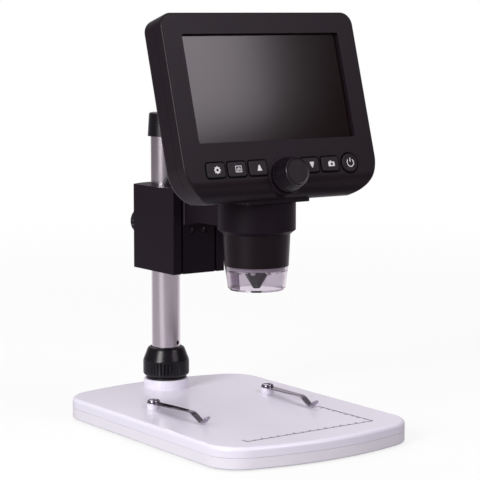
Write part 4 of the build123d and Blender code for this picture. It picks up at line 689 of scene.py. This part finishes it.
def inkBar(a, b, wide):
    # A flat bar from a to b: its four corners at the bottom and at the top.
    way = (b - a) / np.linalg.norm(b - a)
    off = np.array((-way[1], way[0])) * wide / 2
    corners = np.stack([a - off, b - off, b + off, a + off])
    low, high = scaleMarks["top"] - 0.02, scaleMarks["top"] + scaleMarks["thick"]
    return capped(np.stack([np.insert(corners, 2, z, axis=1) for z in (low, high)])), False, True


def buildScale():
    # Two ruled lines at a corner, with a tick at every step, a longer one at every second and the longest at the ends.
    sheets = []
    corner = np.array(scaleMarks["corner"])
    for end, inward in (("start", (0, 1)), ("end", (-1, 0))):
        far, inward = np.array(scaleMarks[end]), np.array(inward)
        sheets.append(inkBar(corner, far, scaleMarks["line"]))
        sheets.append(inkBar(far, far + inward * scaleMarks["endTick"], scaleMarks["tickLine"]))
        length = np.linalg.norm(far - corner)
        for n, gone in enumerate(np.arange(0, length, scaleMarks["step"])):
            at = corner + (far - corner) * gone / length
            tick = scaleMarks["tick" if n % 2 else "longTick"]
            sheets.append(inkBar(at, at + inward * tick, scaleMarks["tickLine"]))
    addPiece("printedScale", sheets, "scale_ink", "base")


buildDial()
buildCollar()
buildThumb()
buildCoarseKnob()
buildFootBead()
buildTipInside()
buildClip("clipLeft", -1, "left_clip", "clip_left")
buildClip("clipRight", 1, "right_clip", "clip_right")
buildClipScrews()
buildSigns()
buildGapShade()
buildScale()
print("pieces made")

studio = {"floorSize": 8.0, "floorHeight": -0.0009, "paper": 0.82, "bounce": 0.35, "speck": 0.03, "ambient": 0.45}
whiteFloor = {"near": 0.80, "from": 0.35, "to": 1.1}  # how white the camera sees it, close by and out to all white
mirrorRoom = {"level": 0.21, "tint": (1.0, 0.93, 1.0),
              "window": 0.34, "windowWay": (-0.97, -0.24), "windowEdge": (0.90, 0.99),
              "beyond": 0.50, "beyondWay": (0.57, 0.82), "beyondEdge": (0.55, 0.95),
              "dim": 0.02, "dimWay": (0.62, -0.72, 0.30), "dimEdge": (0.80, 0.99)}
mirrorFloor = {"near": 2.8, "from": 0.75, "to": 1.35,
               "dimWay": (0.65, -0.76), "dimSide": (0.0, 0.2), "dimEnds": (0.18, 0.30), "dimShare": 0.9}


def towards(way, *axes):  # how far a point lies along a way: the sum of each axis times its share
    total = axes[0] * way[0]
    for axis, share in zip(axes[1:], way[1:]):
        total = total + axis * share
    return total


def mirrorLevel(x, y, length):
    # How pale the room looks in a mirror: paler towards a window at the left and towards the far side.
    window = (towards(mirrorRoom["windowWay"], x, y) / length).ramp(*mirrorRoom["windowEdge"])
    beyond = (towards(mirrorRoom["beyondWay"], x, y) / length).ramp(*mirrorRoom["beyondEdge"])
    level = mirrorRoom["level"]
    return level + window * (mirrorRoom["window"] - level) + beyond * (mirrorRoom["beyond"] - level)


def raysOf(f):  # three values, 1 for the rays from the camera, from a mirror and through a clear piece
    kinds = ("Camera", "Glossy", "Transmission")
    return [f.node("ShaderNodeLightPath", {}, {}, "Is " + kind + " Ray") for kind in kinds]


def buildFloor():
    # White to the camera far away, and close by a mix that keeps the shade under the object.
    size = studio["floorSize"]
    corners = [(x * size, y * size, studio["floorHeight"]) for x, y in ((-1, -1), (1, -1), (1, 1), (-1, 1))]
    mesh = bpy.data.meshes.new("floor")
    mesh.from_pydata(corners, [], [(0, 1, 2, 3)])
    obj = bpy.data.objects.new("floor", mesh)
    bpy.context.scene.collection.objects.link(obj)
    f = Finish("floorPaper")
    x, y, _ = f.axes(f.place())
    gone = (x * x + y * y) ** 0.5
    seen, mirrored, through = raysOf(f)
    speck = (f.noise(0.02) - 0.5) * studio["speck"]
    shade = studio["bounce"] * (1 - mirrored) + seen * (studio["paper"] - studio["bounce"]) + speck
    grey = f.node("ShaderNodeCombineColor", {}, {0: shade, 1: shade, 2: shade})
    paper = f.node("ShaderNodeBsdfDiffuse", {}, {"Color": grey})
    glow = f.node("ShaderNodeEmission", {}, {"Color": f.blend(mirrored, tone(1.0), tone(*mirrorRoom["tint"])),
                                             "Strength": 1.0})
    white = whiteFloor["near"] + gone.ramp(whiteFloor["from"], whiteFloor["to"]) * (1 - whiteFloor["near"])
    extra = gone.ramp(mirrorFloor["from"], mirrorFloor["to"]) * (mirrorFloor["near"] - 1)
    level = mirrorLevel(x, y, gone) * (mirrorFloor["near"] - extra)
    side = towards(mirrorFloor["dimWay"], x, y).ramp(*mirrorFloor["dimSide"])
    dim = side * (1 - gone.ramp(*mirrorFloor["dimEnds"]))
    factor = (seen + through) * white + mirrored * level * (1 - dim * mirrorFloor["dimShare"])
    f.outlet(f.node("ShaderNodeMixShader", {}, {0: factor, 1: paper, 2: glow}))
    mesh.materials.append(f.material)


def buildWorld():
    # Even soft light. The camera and clear pieces see white, and mirrors a grey room that is dim on the display's side.
    world = bpy.data.worlds.new("studioWorld")
    bpy.context.scene.world = world
    world.use_nodes = True
    f = Finish("studioWorld", world.node_tree)
    x, y, z = f.axes(f.node("ShaderNodeTexCoord", {}, {}, "Generated"))
    dim = towards(mirrorRoom["dimWay"], x, y, z).ramp(*mirrorRoom["dimEdge"])
    seen, mirrored, through = raysOf(f)
    soft = f.node("ShaderNodeBackground", {}, {"Color": f.blend(mirrored, tone(studio["ambient"]), tone(0.0)),
                                               "Strength": 1.0})
    white = f.node("ShaderNodeBackground", {}, {"Color": f.blend(mirrored, tone(1.0), tone(*mirrorRoom["tint"])),
                                                "Strength": 1.0})
    factor = seen + through + mirrored * (mirrorLevel(x, y, 1.0) * (1 - dim) + dim * mirrorRoom["dim"])
    f.outlet(f.node("ShaderNodeMixShader", {}, {0: factor, 1: soft, 2: white}), "ShaderNodeOutputWorld")


def areaLight(name, at, aim, size, power, tint=(1, 1, 1)):
    # A soft rectangle whose -Z axis is turned from at towards aim, hidden from the camera.
    light = bpy.data.lights.new(name, "AREA")
    light.shape = "RECTANGLE"
    light.size, light.size_y = size
    light.energy = power
    light.color = tint
    obj = bpy.data.objects.new(name, light)
    obj.location = at
    way = np.array(aim, float) - np.array(at, float)
    flat = math.hypot(way[0], way[1])
    obj.rotation_euler = (math.atan2(flat, -way[2]), 0, math.atan2(-way[0], way[1]))
    obj.visible_camera = False
    bpy.context.scene.collection.objects.link(obj)


def fromHead(turn, rise, away):
    # The point so far from the head, turned from -Y towards +X and raised, in degrees.
    turn, rise = math.radians(turn), math.radians(rise)
    x, y, z = headMiddle
    return (x + away * math.sin(turn) * math.cos(rise), y - away * math.cos(turn) * math.cos(rise),
            z + away * math.sin(rise))


headMiddle = (0, -0.03, 0.183)
lamps = {
    "topLight": {"at": (-0.2, 0.15, 1.4), "aim": (0, 0, 0.1), "size": (1.0, 1.0), "power": 2.0},
    "leftLight": {"at": (-1.2, -0.4, 0.6), "aim": (0, 0, 0.05), "size": (0.5, 0.7), "power": 16},
    "frontLight": {"at": fromHead(23.2, 36.4, 1.5), "aim": headMiddle, "size": (0.8, 0.7), "power": 8.2,
                   "tint": (1, 0.92, 1)},
    "backLight": {"at": (0.35, 1.0, 1.35), "aim": (0, 0, 0.12), "size": (0.9, 0.9), "power": 6},
}
buildFloor()
buildWorld()
for lampName, lamp in lamps.items():
    areaLight(lampName, **lamp)

shot = {"at": (-0.55553, -0.80899, 0.22156), "yaw": -34.666, "pitch": 7.001, "lens": 140.39, "sensor": 36.0}
camera = bpy.data.cameras.new("shotCamera")
camera.lens = shot["lens"]
camera.sensor_width = shot["sensor"]
camera.clip_start = 0.01
cameraObject = bpy.data.objects.new("shotCamera", camera)
cameraObject.location = shot["at"]
cameraObject.rotation_euler = (math.radians(90 - shot["pitch"]), 0, math.radians(shot["yaw"]))
bpy.context.scene.collection.objects.link(cameraObject)
bpy.context.scene.camera = cameraObject
bpy.context.scene.view_settings.view_transform = "Standard"
print("studio set")
